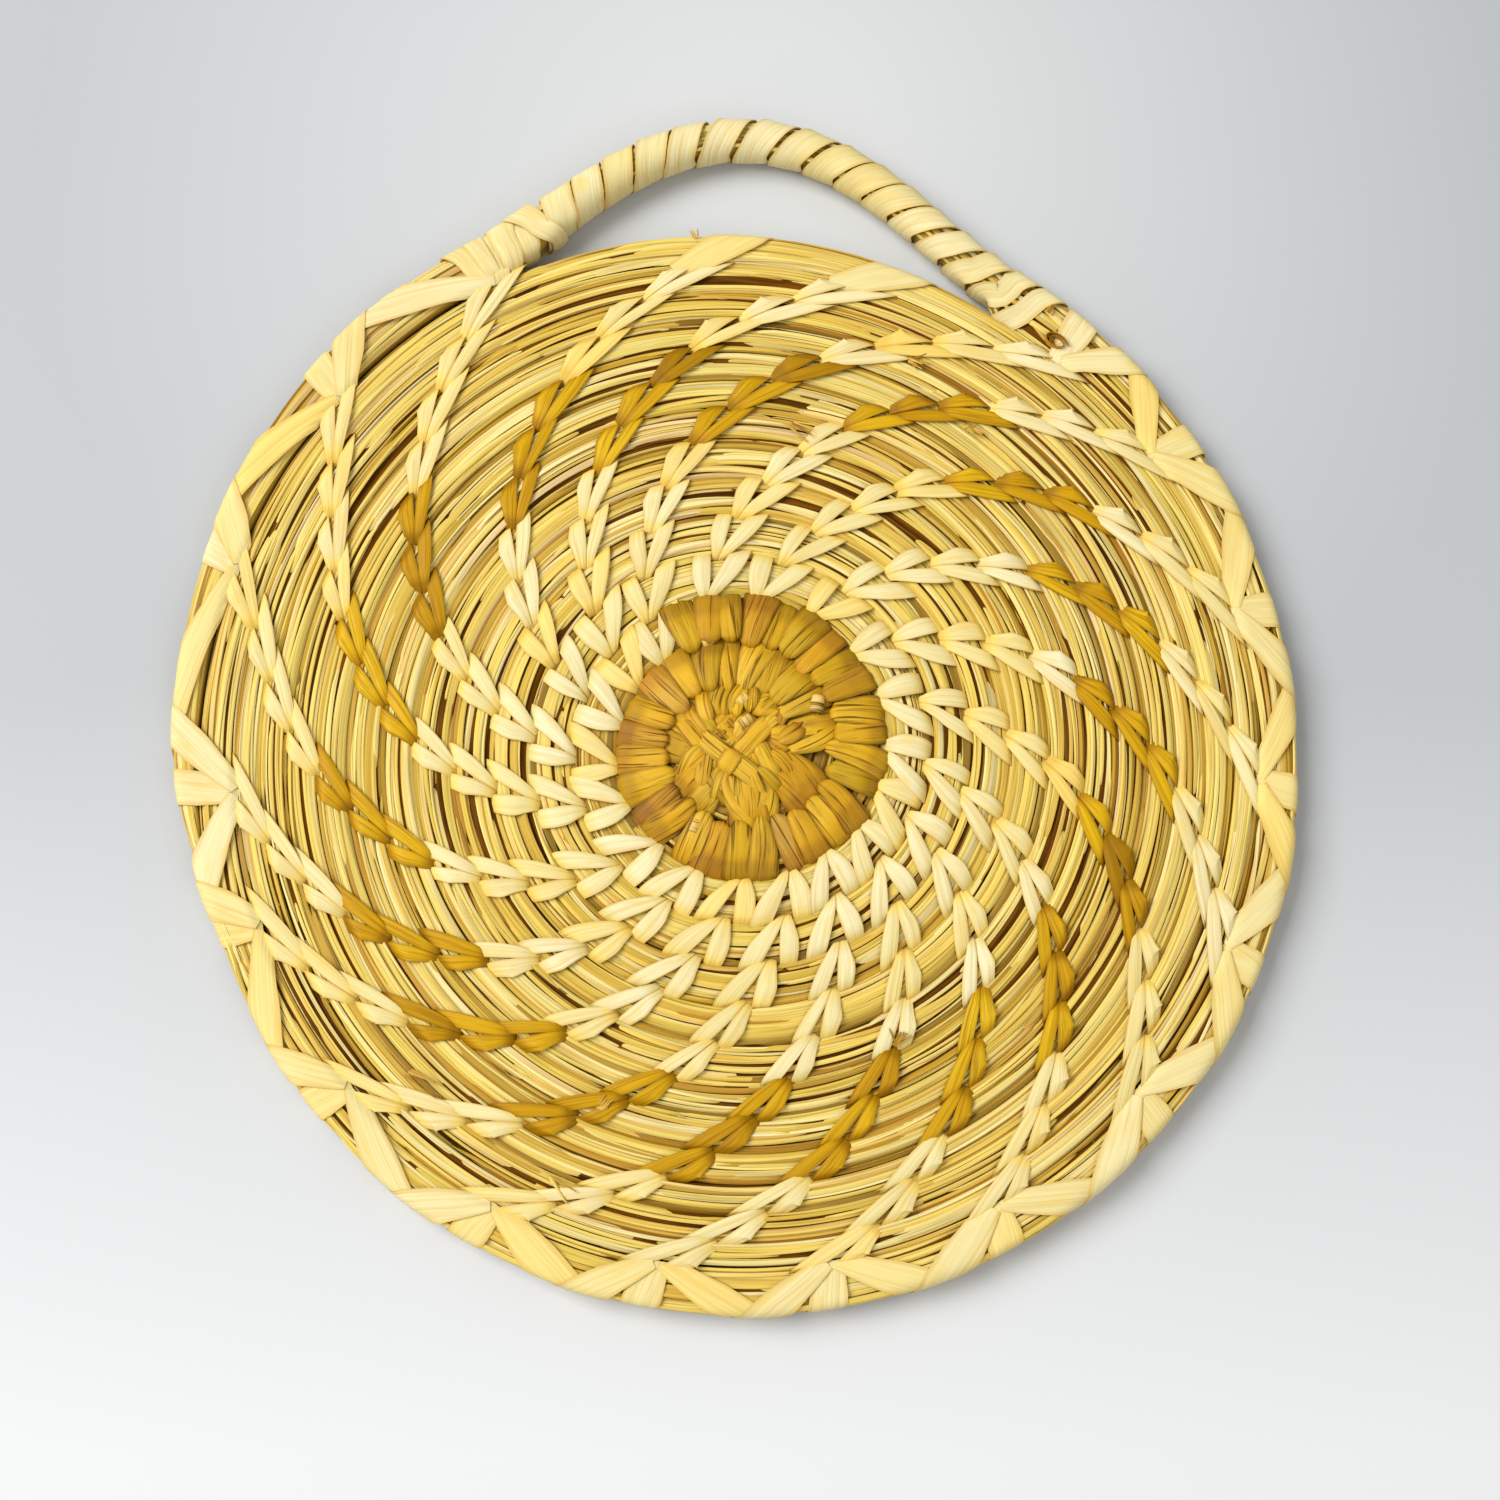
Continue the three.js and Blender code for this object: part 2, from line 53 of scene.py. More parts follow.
# The coil, with the sizes of the part's source
STRIP = 0.6
CLEAR = 0.3
START_RADIUS = 10.8
START_ANGLE = 279
FULL_ROWS = 13
LEAD_IN_TURNS = 0.7
FIRST_ROW_PITCH = 11.5
ROW_PITCH_LOSS = 0.37
COIL_HEIGHT = 8.3
ROOT_SWELL = 5
ROOT_SWELL_TURNS = 0.17
BULGE_RISE = 6.5
BULGE_ANGLE = 110
BULGE_SPREAD = 75
COIL_BOTTOM = STRIP + CLEAR
COIL_TOP = COIL_BOTTOM + COIL_HEIGHT
COIL_MIDDLE = COIL_BOTTOM + COIL_HEIGHT / 2

# Rows near the rim lie further in than the part's even spiral, and the last row is wide
DRAW_IN = 3.6
DRAW_IN_TURNS = (7, 13)
DRAW_OUT_TURNS = (13.05, 14)
ROW_SPLIT = 0.15

# The stitch chains, with the sizes of the part's source
CHAINS = 18
CHAIN_DRIFT = 6.1
FIRST_STITCH_TURN = 1.585
SHIFTS_AT_START = [
    2.5, 0.8, 0, 1.3, -0.4, 2.9, 3.2, 3.5, 2.7, 1, -0.7, -3.4, -6.5, -6.5, -5, -3, -1, -1.5,
]
SHIFTS_AT_RIM = [-4.7, -6, -7, 1.5, 3, 5, 5, 1, 2, 3, 2, 1, 0, 0, -1, -1.5, -1.5, -1]
SHIFT_ROWS = 11
INNER_ROWS = 5
GOLD_ROWS = 3
HALF_TURN = 0.5

# The handle, with the sizes of the part's source
HANDLE_FROM = 60
HANDLE_TO = 118
HANDLE_RISE = 20
HANDLE_DIAMETER = 10.2
HANDLE_LIFT = 1.4
HANDLE_GAP = 1.7
TAIL_TO = 206
TAIL_END_WIDTH = 3
TAIL_BOUND_ALONE = 5
TIE_OVER_ROW = 3
ROOT_ANGLE = 4
ROUNDING_ANGLE = 10

# The handle's tail lies close against the last row and runs out, and the wrapping draws the bundle in
TAIL_FILL = 1.5
TAIL_FADE = 26
TAIL_SINK = 2.2
DRAWN_BY_WRAP = 0.14
LEAST_HALF = 0.1
TANGENT_STEP = 0.2
HANDLE_SLOPE = 1.06
# The coil turns into the handle between these angles, and the handle's own shape starts just past its root
ROOT_BLEND = (HANDLE_FROM - 1, HANDLE_FROM + 2)
SHAPE_FROM = HANDLE_FROM + 0.1
RADIUS_FROM = HANDLE_FROM + 0.01

COIL_FROM = -LEAD_IN_TURNS
COIL_TO = FULL_ROWS + ((HANDLE_FROM - START_ANGLE) % 360) / 360

# The section of a bundle of blades is a rounded oblong of this power
BUNDLE_POWER = 3.6


def smooth(low, high, value):
    """A soft step from 0 at low to 1 at high."""
    x = np.clip((np.asarray(value, float) - low) / (high - low), 0, 1)
    return x * x * (3 - 2 * x)


def blend(pair, share):
    return pair[0] + (pair[1] - pair[0]) * share


def signed_power(value, power):
    return np.sign(value) * np.abs(value) ** power


def unit(vectors):
    return vectors / np.maximum(np.linalg.norm(vectors, axis=-1, keepdims=True), TINY)


def outward(degrees):
    """The direction away from the centre at an angle, lying flat."""
    a = np.radians(np.asarray(degrees, float))
    return np.stack([np.cos(a), np.sin(a), np.zeros_like(a)], -1)


def plan(radius, degrees, z=0.0):
    """A point, or points, by radius, angle and height."""
    point = outward(degrees) * np.asarray(radius, float)[..., None]
    return point + UP * np.asarray(z, float)[..., None]


def ripple(rng, run, size, least, most):
    """A wave along a run, with a random phase and a random length from the least to the most."""
    return size * np.sin(run / rng.uniform(least, most) + rng.uniform(*PHASES))


# The spiral

def angle_at(turn):
    return START_ANGLE + 360 * np.asarray(turn, float)


def bulge(degrees):
    turned = (np.asarray(degrees, float) - BULGE_ANGLE) % 360
    away = np.minimum(turned, 360 - turned)
    return BULGE_RISE * np.cos(np.pi / 2 * np.minimum(away / BULGE_SPREAD, 1)) ** 2


def even_groove(turn):
    t = np.maximum(np.asarray(turn, float), 0)
    even = START_RADIUS + FIRST_ROW_PITCH * t - ROW_PITCH_LOSS * t * (t - 1) / 2
    return even + bulge(angle_at(turn)) * (t / FULL_ROWS) ** 2


def groove(turn):
    """The radius of the groove on the inner side of the row at a turn."""
    drawn = smooth(*DRAW_IN_TURNS, turn) * (1 - smooth(*DRAW_OUT_TURNS, turn))
    return even_groove(turn) - DRAW_IN * drawn


def row_outside(turn):
    swell = ROOT_SWELL * smooth(COIL_TO - ROOT_SWELL_TURNS, COIL_TO, turn)
    return groove(np.asarray(turn, float) + 1) - ROW_SPLIT + swell


def coil_section(turn):
    """Centre, outward direction, half width and half height of the coil's bundle."""
    inside, outside = groove(turn), row_outside(turn)
    angle = angle_at(turn)
    centre = plan((inside + outside) / 2, angle, np.full_like(angle, COIL_MIDDLE))
    return centre, outward(angle), (outside - inside) / 2, np.full_like(angle, COIL_HEIGHT / 2)


def coil_run(turn):
    """Millimetres to a turn."""
    return 2 * np.pi * float(groove(turn) + groove(turn + 1)) / 2


def last_turn_at(degrees):
    turn = (degrees - START_ANGLE) / 360
    return turn + np.floor(COIL_TO - turn)


# The handle

def handle_width(degrees):
    return blend((HANDLE_DIAMETER, TAIL_END_WIDTH), smooth(HANDLE_TO, TAIL_TO, degrees))


def handle_round(degrees):
    """How round the handle is: 1 where it is wrapped and 0 where it lies on the rim."""
    bound = HANDLE_TO - ROOT_ANGLE
    rounds = smooth(HANDLE_FROM, HANDLE_FROM + ROUNDING_ANGLE, degrees)
    return rounds * (1 - smooth(bound - ROUNDING_ANGLE, bound, degrees))


def handle_radius(degrees):
    degrees = np.maximum(np.asarray(degrees, float), RADIUS_FROM)
    middle, half = (HANDLE_FROM + HANDLE_TO) / 2, (HANDLE_TO - HANDLE_FROM) / 2
    reach = np.clip(np.abs(degrees - middle) / half, 0, 1)
    arch = (1 + np.cos(np.pi * reach)) / 2
    turn = np.vectorize(last_turn_at)(degrees)
    seat = even_groove(turn + 1) - STRIP + HANDLE_GAP + handle_width(degrees) / 2
    return seat + HANDLE_RISE * arch


def tail_share(degrees):
    """How much of the tail's width is left at an angle: it runs out at its end."""
    return 1 - smooth(TAIL_TO - TAIL_FADE, TAIL_TO, degrees)


def handle_section(degrees):
    """Centre, outward direction, half width and half height of the handle's bundle."""
    degrees = np.asarray(degrees, float)
    bound = handle_round(degrees)
    tail = smooth(HANDLE_TO - 2 * ROOT_ANGLE, HANDLE_TO, degrees)
    inside = handle_radius(degrees) - handle_width(degrees) / 2 - TAIL_FILL * tail
    inside = inside - TAIL_SINK * (1 - tail_share(degrees))
    width = (handle_width(degrees) + TAIL_FILL * tail) * tail_share(degrees)
    centre = plan(inside + width / 2, degrees, COIL_MIDDLE + HANDLE_LIFT * bound)
    onward = degrees + TANGENT_STEP
    along = unit(plan(handle_radius(onward), onward) - plan(handle_radius(degrees), degrees))
    across = np.stack([along[..., 1], -along[..., 0], np.zeros_like(degrees)], -1)
    height = blend((COIL_HEIGHT, HANDLE_DIAMETER), bound)
    drawn = 1 - DRAWN_BY_WRAP * bound
    return centre, across, np.maximum(width / 2 * drawn, LEAST_HALF), height / 2 * drawn


def end_section(degrees):
    """The bundle's last run: the coil up to the handle's root, then the handle and its tail."""
    degrees = np.asarray(degrees, float)
    coil = coil_section(COIL_TO - np.maximum(HANDLE_FROM - degrees, 0) / 360)
    handle = handle_section(np.maximum(degrees, SHAPE_FROM))
    share = smooth(*ROOT_BLEND, degrees)
    shares = (share[..., None], share[..., None], share, share)
    return [blend(pair, part) for pair, part in zip(zip(coil, handle), shares)]


def handle_run(degrees):
    """Millimetres to a degree, with a little for the arch's slope."""
    return np.radians(1) * float(handle_radius(degrees)) * HANDLE_SLOPE


def outermost(degrees):
    """The turn, inner radius and outer radius of what the rim ties hold at an angle."""
    d = degrees % 360
    turn = last_turn_at(d)
    inside, edge = float(groove(turn)), float(row_outside(turn))
    if d < HANDLE_TO - ROOT_ANGLE or d > TAIL_TO:
        return turn, inside, edge
    centre, half = float(handle_radius(d)), float(handle_width(d)) / 2
    outside = blend((edge, centre + half), float(tail_share(d)))
    if 2 * half < TAIL_BOUND_ALONE:
        return turn, inside, outside
    return turn + 1, centre - half - TIE_OVER_ROW, outside


# The stitches' places

def stitch(chain, row):
    """The turn, angle and groove radius of a stitch of a chain."""
    spacing = (360 - CHAIN_DRIFT) / CHAINS
    start, rim = SHIFTS_AT_START[chain], SHIFTS_AT_RIM[chain]
    shift = start + (rim - start) * row / SHIFT_ROWS
    turn = FIRST_STITCH_TURN + (spacing * (chain + row * CHAINS) + shift) / 360
    return turn, float(angle_at(turn)), float(groove(turn))


def rows_of(chain):
    """How many rows a chain has before it meets what the rim ties hold."""
    rows = 0
    while stitch(chain, rows)[0] < outermost(stitch(chain, rows)[1])[0] - HALF_TURN:
        rows += 1
    return rows


def under_handle(degrees):
    return HANDLE_FROM < degrees % 360 < HANDLE_TO - ROOT_ANGLE


# Meshes: blades and strips are lofts of closed rings, gathered into one mesh for each piece

SHARP_ANGLE = 50


class Weave:
    """Gathers lofts, then makes one object of them."""

    def __init__(self):
        self.points, self.faces, self.strips, self.tones = [], [], [], []
        self.count = 0

    def loft(self, rings, across, along, seed, tone, edge=0.0):
        """Rings are points by step and place round the ring. The tone is two numbers for the whole loft, or
        a pair for each step. Edge says how near each place is to the strip's edge, from 0 to 1."""
        steps, sides, _ = rings.shape
        i = np.arange(steps - 1)[:, None] * sides
        j = np.arange(sides)[None, :]
        k = (j + 1) % sides
        quads = np.stack([i + j, i + k, i + sides + k, i + sides + j], -1).reshape(-1, 4)
        flat = rings.reshape(-1, 3)
        a, b, c, d = (flat[quads[:, n]] - flat[0] for n in range(4))
        volume = (a * np.cross(b, c)).sum() + (a * np.cross(c, d)).sum()
        first = list(range(sides))[::-1]
        last = [(steps - 1) * sides + n for n in range(sides)]
        faces = quads.tolist() + [first, last]
        if volume < 0:
            faces = [face[::-1] for face in faces]
        self.faces += [[v + self.count for v in face] for face in faces]
        self.points.append(flat)
        place = np.broadcast_arrays(across, along, seed)
        self.strips.append(np.stack(place, -1).reshape(-1, 3))
        pairs = np.broadcast_to(np.asarray(tone, float).reshape(-1, 1, 2), (steps, sides, 2))
        edges = np.broadcast_to(edge, (steps, sides))[..., None]
        self.tones.append(np.concatenate([pairs, edges], -1).reshape(-1, 3))
        self.count += steps * sides

    def build(self, name, material):
        mesh = bpy.data.meshes.new(name)
        points = np.concatenate(self.points)
        points[:, 2] = np.maximum(points[:, 2], FLOOR_CLEAR)
        mesh.from_pydata((points * METRES).tolist(), [], self.faces)
        for label, rows in (("strip", self.strips), ("tone", self.tones)):
            attribute = mesh.attributes.new(label, "FLOAT_VECTOR", "POINT")
            attribute.data.foreach_set("vector", np.concatenate(rows).astype(np.float32).ravel())
        mesh.polygons.foreach_set("use_smooth", [True] * len(mesh.polygons))
        mesh.set_sharp_from_angle(angle=math.radians(SHARP_ANGLE))
        mesh.materials.append(material)
        mesh.update()
        piece = bpy.data.objects.new(name, mesh)
        bpy.context.scene.collection.objects.link(piece)
        return piece


def through(rows, count):
    """A smooth run of values through rows of values, by a cubic curve that passes through them all."""
    rows = np.asarray(rows, float)
    ends = np.concatenate([2 * rows[:1] - rows[1:2], rows, 2 * rows[-1:] - rows[-2:-1]])
    at = np.linspace(0, len(rows) - 1, count)
    i = np.minimum(at.astype(int), len(rows) - 2)
    t = (at - i)[:, None]
    p0, p1, p2, p3 = (ends[i + n] for n in range(4))
    return 0.5 * (2 * p1 + (p2 - p0) * t + (2 * p0 - 5 * p1 + 4 * p2 - p3) * t ** 2
                  + (3 * p1 - p0 - 3 * p2 + p3) * t ** 3)


def rings_on(path, side, up, across, rise):
    """Rings round a path, by how far to its side and how far up each place lies at each step."""
    return path[:, None] + side[:, None] * across[..., None] + up[:, None] * rise[..., None]


def tone_run(light, kind):
    """A lightness for each step of a loft, with one kind for all."""
    return np.stack([light, np.full_like(light, kind)], -1)


def lengths_along(path):
    steps = np.linalg.norm(np.diff(path, axis=0), axis=1)
    return np.concatenate([[0], np.cumsum(steps)])


# Places across a strip of leaf on its top and its back
STRIP_TOP = np.linspace(-1, 1, 9)
STRIP_BACK = np.linspace(0.98, -0.98, 4)
STRIP_PLACES = np.concatenate([STRIP_TOP, STRIP_BACK])
STRIP_THICK = 0.34
PLEAT_COUNTS = (2.2, 3.6)
# A strip narrower than this is thinner and crowned less, down to a least share
FULL_WIDTH = 4
LEAST_SHARE = 0.25


def crowned(places, crown, fold, thickness):
    """Heights across a strip by places from -1 to 1: those of its folded top, then those of its back."""
    rise = crown * (1 - places ** 2)
    rise[:len(fold)] += fold
    rise[len(fold):] -= thickness
    return rise


def add_strip(weave, path, normal, width, rng, tone,
              crown=0.3, thickness=STRIP_THICK, pleats=0.06, tilt=0.0):
    """A flat strip of leaf along a path: crowned across, thin, and lightly pleated along its length. The
    normal is one direction or one for each step. Tilt lifts one edge and lowers the other."""
    along = unit(np.gradient(path, axis=0))
    side = unit(np.cross(along, normal))
    normal = np.cross(side, along)
    width = np.asarray(width, float)[:, None]
    slim = np.clip(width / FULL_WIDTH, LEAST_SHARE, 1)
    phase, count = rng.uniform(*PHASES), rng.uniform(*PLEAT_COUNTS)
    fold = pleats * np.cos(count * np.pi * STRIP_TOP + phase) * (1 - STRIP_TOP ** 4)
    across = STRIP_PLACES * width / 2
    rise = (crowned(STRIP_PLACES, crown, fold, thickness) + tilt * STRIP_PLACES) * slim
    rings = rings_on(path, side, normal, across, rise)
    run = lengths_along(path)[:, None]
    weave.loft(rings, across, run, rng.uniform(*SEEDS), tone, np.abs(STRIP_PLACES))


# Grass blades

BLADE_STEP = 2.6
LEAST_STEPS = 5
BLADE_LENGTHS = (60, 200)
LEAST_BLADE = 12
BLADE_POWER = 0.8
# A blade's waves across its bundle, in and out of it, and in its size: how far, then their lengths
WAVE = (0.045, 9, 20)
SAG = (0.12, 14, 30)
SWELL = (0.1, 10, 25)
# Its drift across the bundle as a share of the half width, and how it rolls
DRIFT = 0.26
LAST_PLACE = 0.97
ROLLS = (-0.3, 0.3)
ROLL_WAVE = 0.12
ROLL_LENGTHS = (15, 40)
# Its ends dive and thin over this run
END_RUN = 9
END_DIVE = 1.0
END_THIN = 0.75
# Flat blades with their heights, round ones with their shape, and heavy dark ones
FLAT_SHARE = 0.7
FLAT_HEIGHTS = (0.5, 0.8)
ROUND_SHARE = 0.75
ROUND_MOST = 1.6
DARK_SHARE = 0.08
DARK_BY = 0.25
BLADE_TONES = (0.02, 0.98)
# How far a blade strays from its lane, as a share of the lane, and from its depth, and how blades overlap
LANE_STRAY = (-0.35, 0.35)
DEPTH_STRAY = (-0.15, 0.5)
FOLLOWS_AFTER = (0.86, 0.97)


def blade_outline(sides):
    turn = 2 * np.pi * (np.arange(sides) + 0.5) / sides
    return signed_power(np.cos(turn), BLADE_POWER), signed_power(np.sin(turn), BLADE_POWER)


def on_bundle(place, face, half_width, half_height):
    """The place on a bundle's section and its outward normal. Face 1 is the top, -1 the back and 0 the
    outer side, and place runs from -1 to 1 across it."""
    rise = (1 - np.abs(place) ** BUNDLE_POWER) ** (1 / BUNDLE_POWER)
    x, z = (rise, place) if face == 0 else (place, face * rise)
    nx = signed_power(x, BUNDLE_POWER - 1) / half_width
    nz = signed_power(z, BUNDLE_POWER - 1) / half_height
    size = np.hypot(nx, nz)
    return [values[:, None] for values in (half_width * x, half_height * z, nx / size, nz / size)]


def add_blade(weave, rng, section, start, stop, length, place, face, depth, width, height, tone, sides):
    """One blade of grass that lies on a bundle, from start to stop along it."""
    share = np.linspace(0, 1, max(LEAST_STEPS, int(length / BLADE_STEP)))
    centre, out, half_width, half_height = section(start + (stop - start) * share)
    run = share * length
    wave = ripple(rng, run, *WAVE)
    drift = rng.normal(0, DRIFT) * (share - 0.5) * 2
    spot = np.clip(place + drift + wave, -LAST_PLACE, LAST_PLACE)
    x, z, nx, nz = on_bundle(spot, face, half_width, half_height)
    end = 1 - smooth(0, END_RUN, np.minimum(run, length - run))
    sink = depth + END_DIVE * end + ripple(rng, run, *SAG)
    roll = (rng.uniform(*ROLLS) + ROLL_WAVE * np.sin(run / rng.uniform(*ROLL_LENGTHS)))[:, None]
    normal = out * nx + UP * nz
    flank = out * nz - UP * nx
    turned = normal * np.cos(roll) + flank * np.sin(roll)
    side = flank * np.cos(roll) - normal * np.sin(roll)
    middle = centre + out * x + UP * z - normal * (sink + height / 2)[:, None]
    swell = ((1 - END_THIN * end) * (1 + ripple(rng, run, *SWELL)))[:, None]
    ring_x, ring_y = blade_outline(sides)
    across = (ring_x * width / 2) * swell
    rings = rings_on(middle, side, turned, across, (ring_y * height / 2) * swell)
    weave.loft(rings, across, run[:, None], rng.uniform(*SEEDS), tone)


def lay_blades(weave, rng, section, span, run_per_unit, lanes, face, depth, tone, widths, sides=6):
    """Lanes of blades along a bundle, end over end. The span is the least place, start, stop and most
    place, run_per_unit turns a place into millimetres, tone is the middle and spread of the blades'
    lightness, and widths are the least and the most."""
    least, start, stop, most = span
    gap = 2 / lanes
    for lane in range(lanes):
        at = max(least, start - rng.uniform(0, BLADE_LENGTHS[0]) / run_per_unit(start))
        while at < stop:
            length = rng.uniform(*BLADE_LENGTHS)
            to = min(at + length / run_per_unit(at), most)
            length = (to - at) * run_per_unit((at + to) / 2)
            if length < LEAST_BLADE:
                break
            flat = rng.random() < FLAT_SHARE
            width = rng.uniform(*widths) * (1 if flat else ROUND_SHARE)
            height = rng.uniform(*FLAT_HEIGHTS) if flat else min(width, ROUND_MOST) * ROUND_SHARE
            lightness = rng.normal(*tone) - (DARK_BY if rng.random() < DARK_SHARE else 0)
            place = -1 + gap * (lane + 0.5) + rng.uniform(*LANE_STRAY) * gap
            deep = depth + rng.uniform(*DEPTH_STRAY)
            add_blade(weave, rng, section, at, to, length, place, face, deep, width, height,
                      (np.clip(lightness, *BLADE_TONES), rng.random()), sides)
            at += (to - at) * rng.uniform(*FOLLOWS_AFTER)


# Narrow bundles fill the grooves between the rows, this far below the face and above the back
GROOVE_DEPTH = 1.9
GROOVE_HALF = 1.0
GROOVE_LANES = 2
# Stretches of the coil by turns, with the lanes of blades on the face of each and their lightness
COIL_STRETCHES = [
    (COIL_FROM, 1.5, 6, 0.15), (1.5, 5.0, 6, 0.67), (5.0, 9.0, 6, 0.69), (9.0, COIL_TO - 1, 5, 0.69),
    (COIL_TO - 1, COIL_TO, 7, 0.68),
]
# Widths of broad and thin blades as shares of a lane
BROAD = np.array((0.75, 1.5))
THIN = np.array((0.4, 0.8))
RIM_BLADES_FROM = FULL_ROWS - 0.65
RIM_LANES = 5


def groove_section(height):
    """The section of the narrow bundle in a groove, at a height."""
    def section(turn):
        angle = angle_at(turn)
        half = np.full_like(angle, GROOVE_HALF)
        return plan(groove(turn), angle, np.full_like(angle, height)), outward(angle), half, half
    return section


def make_grass(materials):
    rng = np.random.default_rng(11)
    pieces = []
    upper, lower = groove_section(COIL_TOP - GROOVE_DEPTH), groove_section(COIL_BOTTOM + GROOVE_DEPTH)
    for n, (start, stop, lanes, light) in enumerate(COIL_STRETCHES):
        wide = 2 * float(coil_section((start + stop) / 2)[2]) / lanes
        span = (COIL_FROM, start, stop, COIL_TO)
        # Piece, section, lanes, face, depth, middle and spread of lightness, widths and sides of a blade
        layers = [
            ("face", coil_section, lanes, 1, 0.15, (light, 0.17), BROAD * wide, 8),
            ("face", coil_section, lanes // 2, 1, 0.0, (light + 0.04, 0.22), THIN * wide, 8),
            # The under blades and the grooves' bundles are coloured dark as painted shade in the gaps
            # between the rows' blades
            ("under", coil_section, lanes, 1, 0.95, (0.3, 0.14), BROAD * wide, 6),
            ("under", upper, GROOVE_LANES, 1, 0.0, (0.28, 0.2), (1.0, 1.8), 6),
            ("back", coil_section, lanes + 1, -1, 0.0, (0.55, 0.18), BROAD * wide, 6),
            ("back", lower, GROOVE_LANES, -1, 0.0, (0.34, 0.2), (1.2, 2.0), 6),
        ]
        weaves = {name: Weave() for name in ("face", "under", "back")}
        for name, section, count, face, depth, tone, widths, sides in layers:
            lay_blades(weaves[name], rng, section, span, coil_run, count, face, depth, tone, widths, sides)
        for name, weave in weaves.items():
            pieces.append(weave.build(f"grass_{name}_{n + 1}", materials["grass"]))
    rim = Weave()
    span = (COIL_FROM, RIM_BLADES_FROM, COIL_TO, COIL_TO)
    lay_blades(rim, rng, coil_section, span, coil_run, RIM_LANES, 0, -0.35, (0.55, 0.2), (1.4, 2.2))
    pieces.append(rim.build("grass_rim", materials["grass"]))
    return pieces


CORE_SIDES = 14
CORE_STEPS = 700
CORE_WIDTH_SHARE = 0.92
CORE_HEIGHT_SHARE = 0.8
CORE_RADIUS = 4
# The core's tone: dark as painted shade where the handle's core shows between its blades
CORE_SHADE_TONE = (0.3, 0.5)


def add_core(weave, section, start, stop, steps):
    """The inside of a bundle, coloured dark as painted shade, which shows only in the gaps between its
    blades.
    """
    centre, out, half_width, half_height = section(np.linspace(start, stop, steps))
    turn = 2 * np.pi * np.arange(CORE_SIDES) / CORE_SIDES
    x = signed_power(np.cos(turn), 2 / BUNDLE_POWER) * (half_width * CORE_WIDTH_SHARE)[:, None]
    z = signed_power(np.sin(turn), 2 / BUNDLE_POWER) * (half_height * CORE_HEIGHT_SHARE)[:, None]
    rings = rings_on(centre, out, np.broadcast_to(UP, centre.shape), x, z)
    weave.loft(rings, turn * CORE_RADIUS, lengths_along(centre)[:, None], 0.0, CORE_SHADE_TONE)


# Stitches

ARM_STEPS = 22
ARM_TOP = np.linspace(0, 1, 9)
ARM_PLACES = np.concatenate([ARM_TOP, np.linspace(1, 0, 4)])
ARM_THICK = 0.3
ARM_CROWN = 0.2
ARM_FOLD = 0.05
ARM_FOLDS = (1.6, 2.6)
# Along a stitch from its head at 0 to the next head at 1: the place, the height, and the share of the
# arm's width near the centre and near the rim
ARM_SHAPE = [
    (-0.1, -2.6, 0.2, 0.42), (-0.05, -1.2, 0.3, 0.48), (0.04, -0.3, 0.42, 0.54), (0.2, 0.4, 0.68, 0.66),
    (0.45, 0.75, 0.93, 0.9), (0.7, 0.7, 1.0, 1.0), (0.9, 0.3, 0.98, 0.95), (1.03, -0.35, 0.93, 0.86),
    (1.12, -1.4, 0.88, 0.8), (1.18, -2.6, 0.84, 0.76),
]
# Pairs are for the open stitches near the centre and for the close ones from CLOSE_ROW outward
WIDE_ARM = (4.9, 4.3)
SLENDER_ARM = (4.7, 3.5)
ARM_OPENING = (2.3, 0.9)
SLIT_START = (0.22, 0.4)
CLOSE_ROW = 4
SLIT_POWER = 1.2
# A close stitch starts square to its chain and ends along its groove
SQUARE_UNTIL = (0.25, 0.95)
OPENING_SPREAD = (0.7, 1.25)
SLIT_SPREAD = (0.75, 1.15)
ARM_WIDTH_SPREAD = 0.06
ARM_LIFTS = (-0.1, 0.12)
ARM_TWIST = 0.15
# The shade at a stitch's head and where it dives
HEAD_SHADE = 0.42
HEAD_SHADE_RUN = (0.0, 0.3)
DIVE_SHADE_RUN = (0.8, 1.1)
DARKEST_ARM = 0.02
# Along the strip at a stitch's back: millimetres and share of the length to the place, then how far it
# lies aside, its height and its width
BACK_SHAPE = [
    (-0.6, 0, 0.3, 2.2, 2.2), (0.6, 0, 0.2, 0.3, 3.4), (0, 0.5, 0, 0.0, 4.6), (0, 0.9, -0.2, 0.25, 3.6),
    (0, 1.02, -0.3, 2.0, 2.0),
]
BACK_STEPS = 12
BACK_HEIGHT = 0.52
STITCH_STRAY = 0.25
STITCH_TONE_SPREAD = 0.15
LEAF_TONES = (0.05, 0.95)


def stitch_frame(chain, row):
    """The head of a stitch, the way to the next head, the way across it on the side of growing angles and
    its length."""
    _, angle, radius = stitch(chain, row)
    _, next_angle, next_radius = stitch(chain, row + 1)
    head = plan(radius, angle)
    onward = plan(next_radius, next_angle) - head
    length = float(np.linalg.norm(onward))
    onward /= length
    return head, onward, np.cross(UP, onward), length


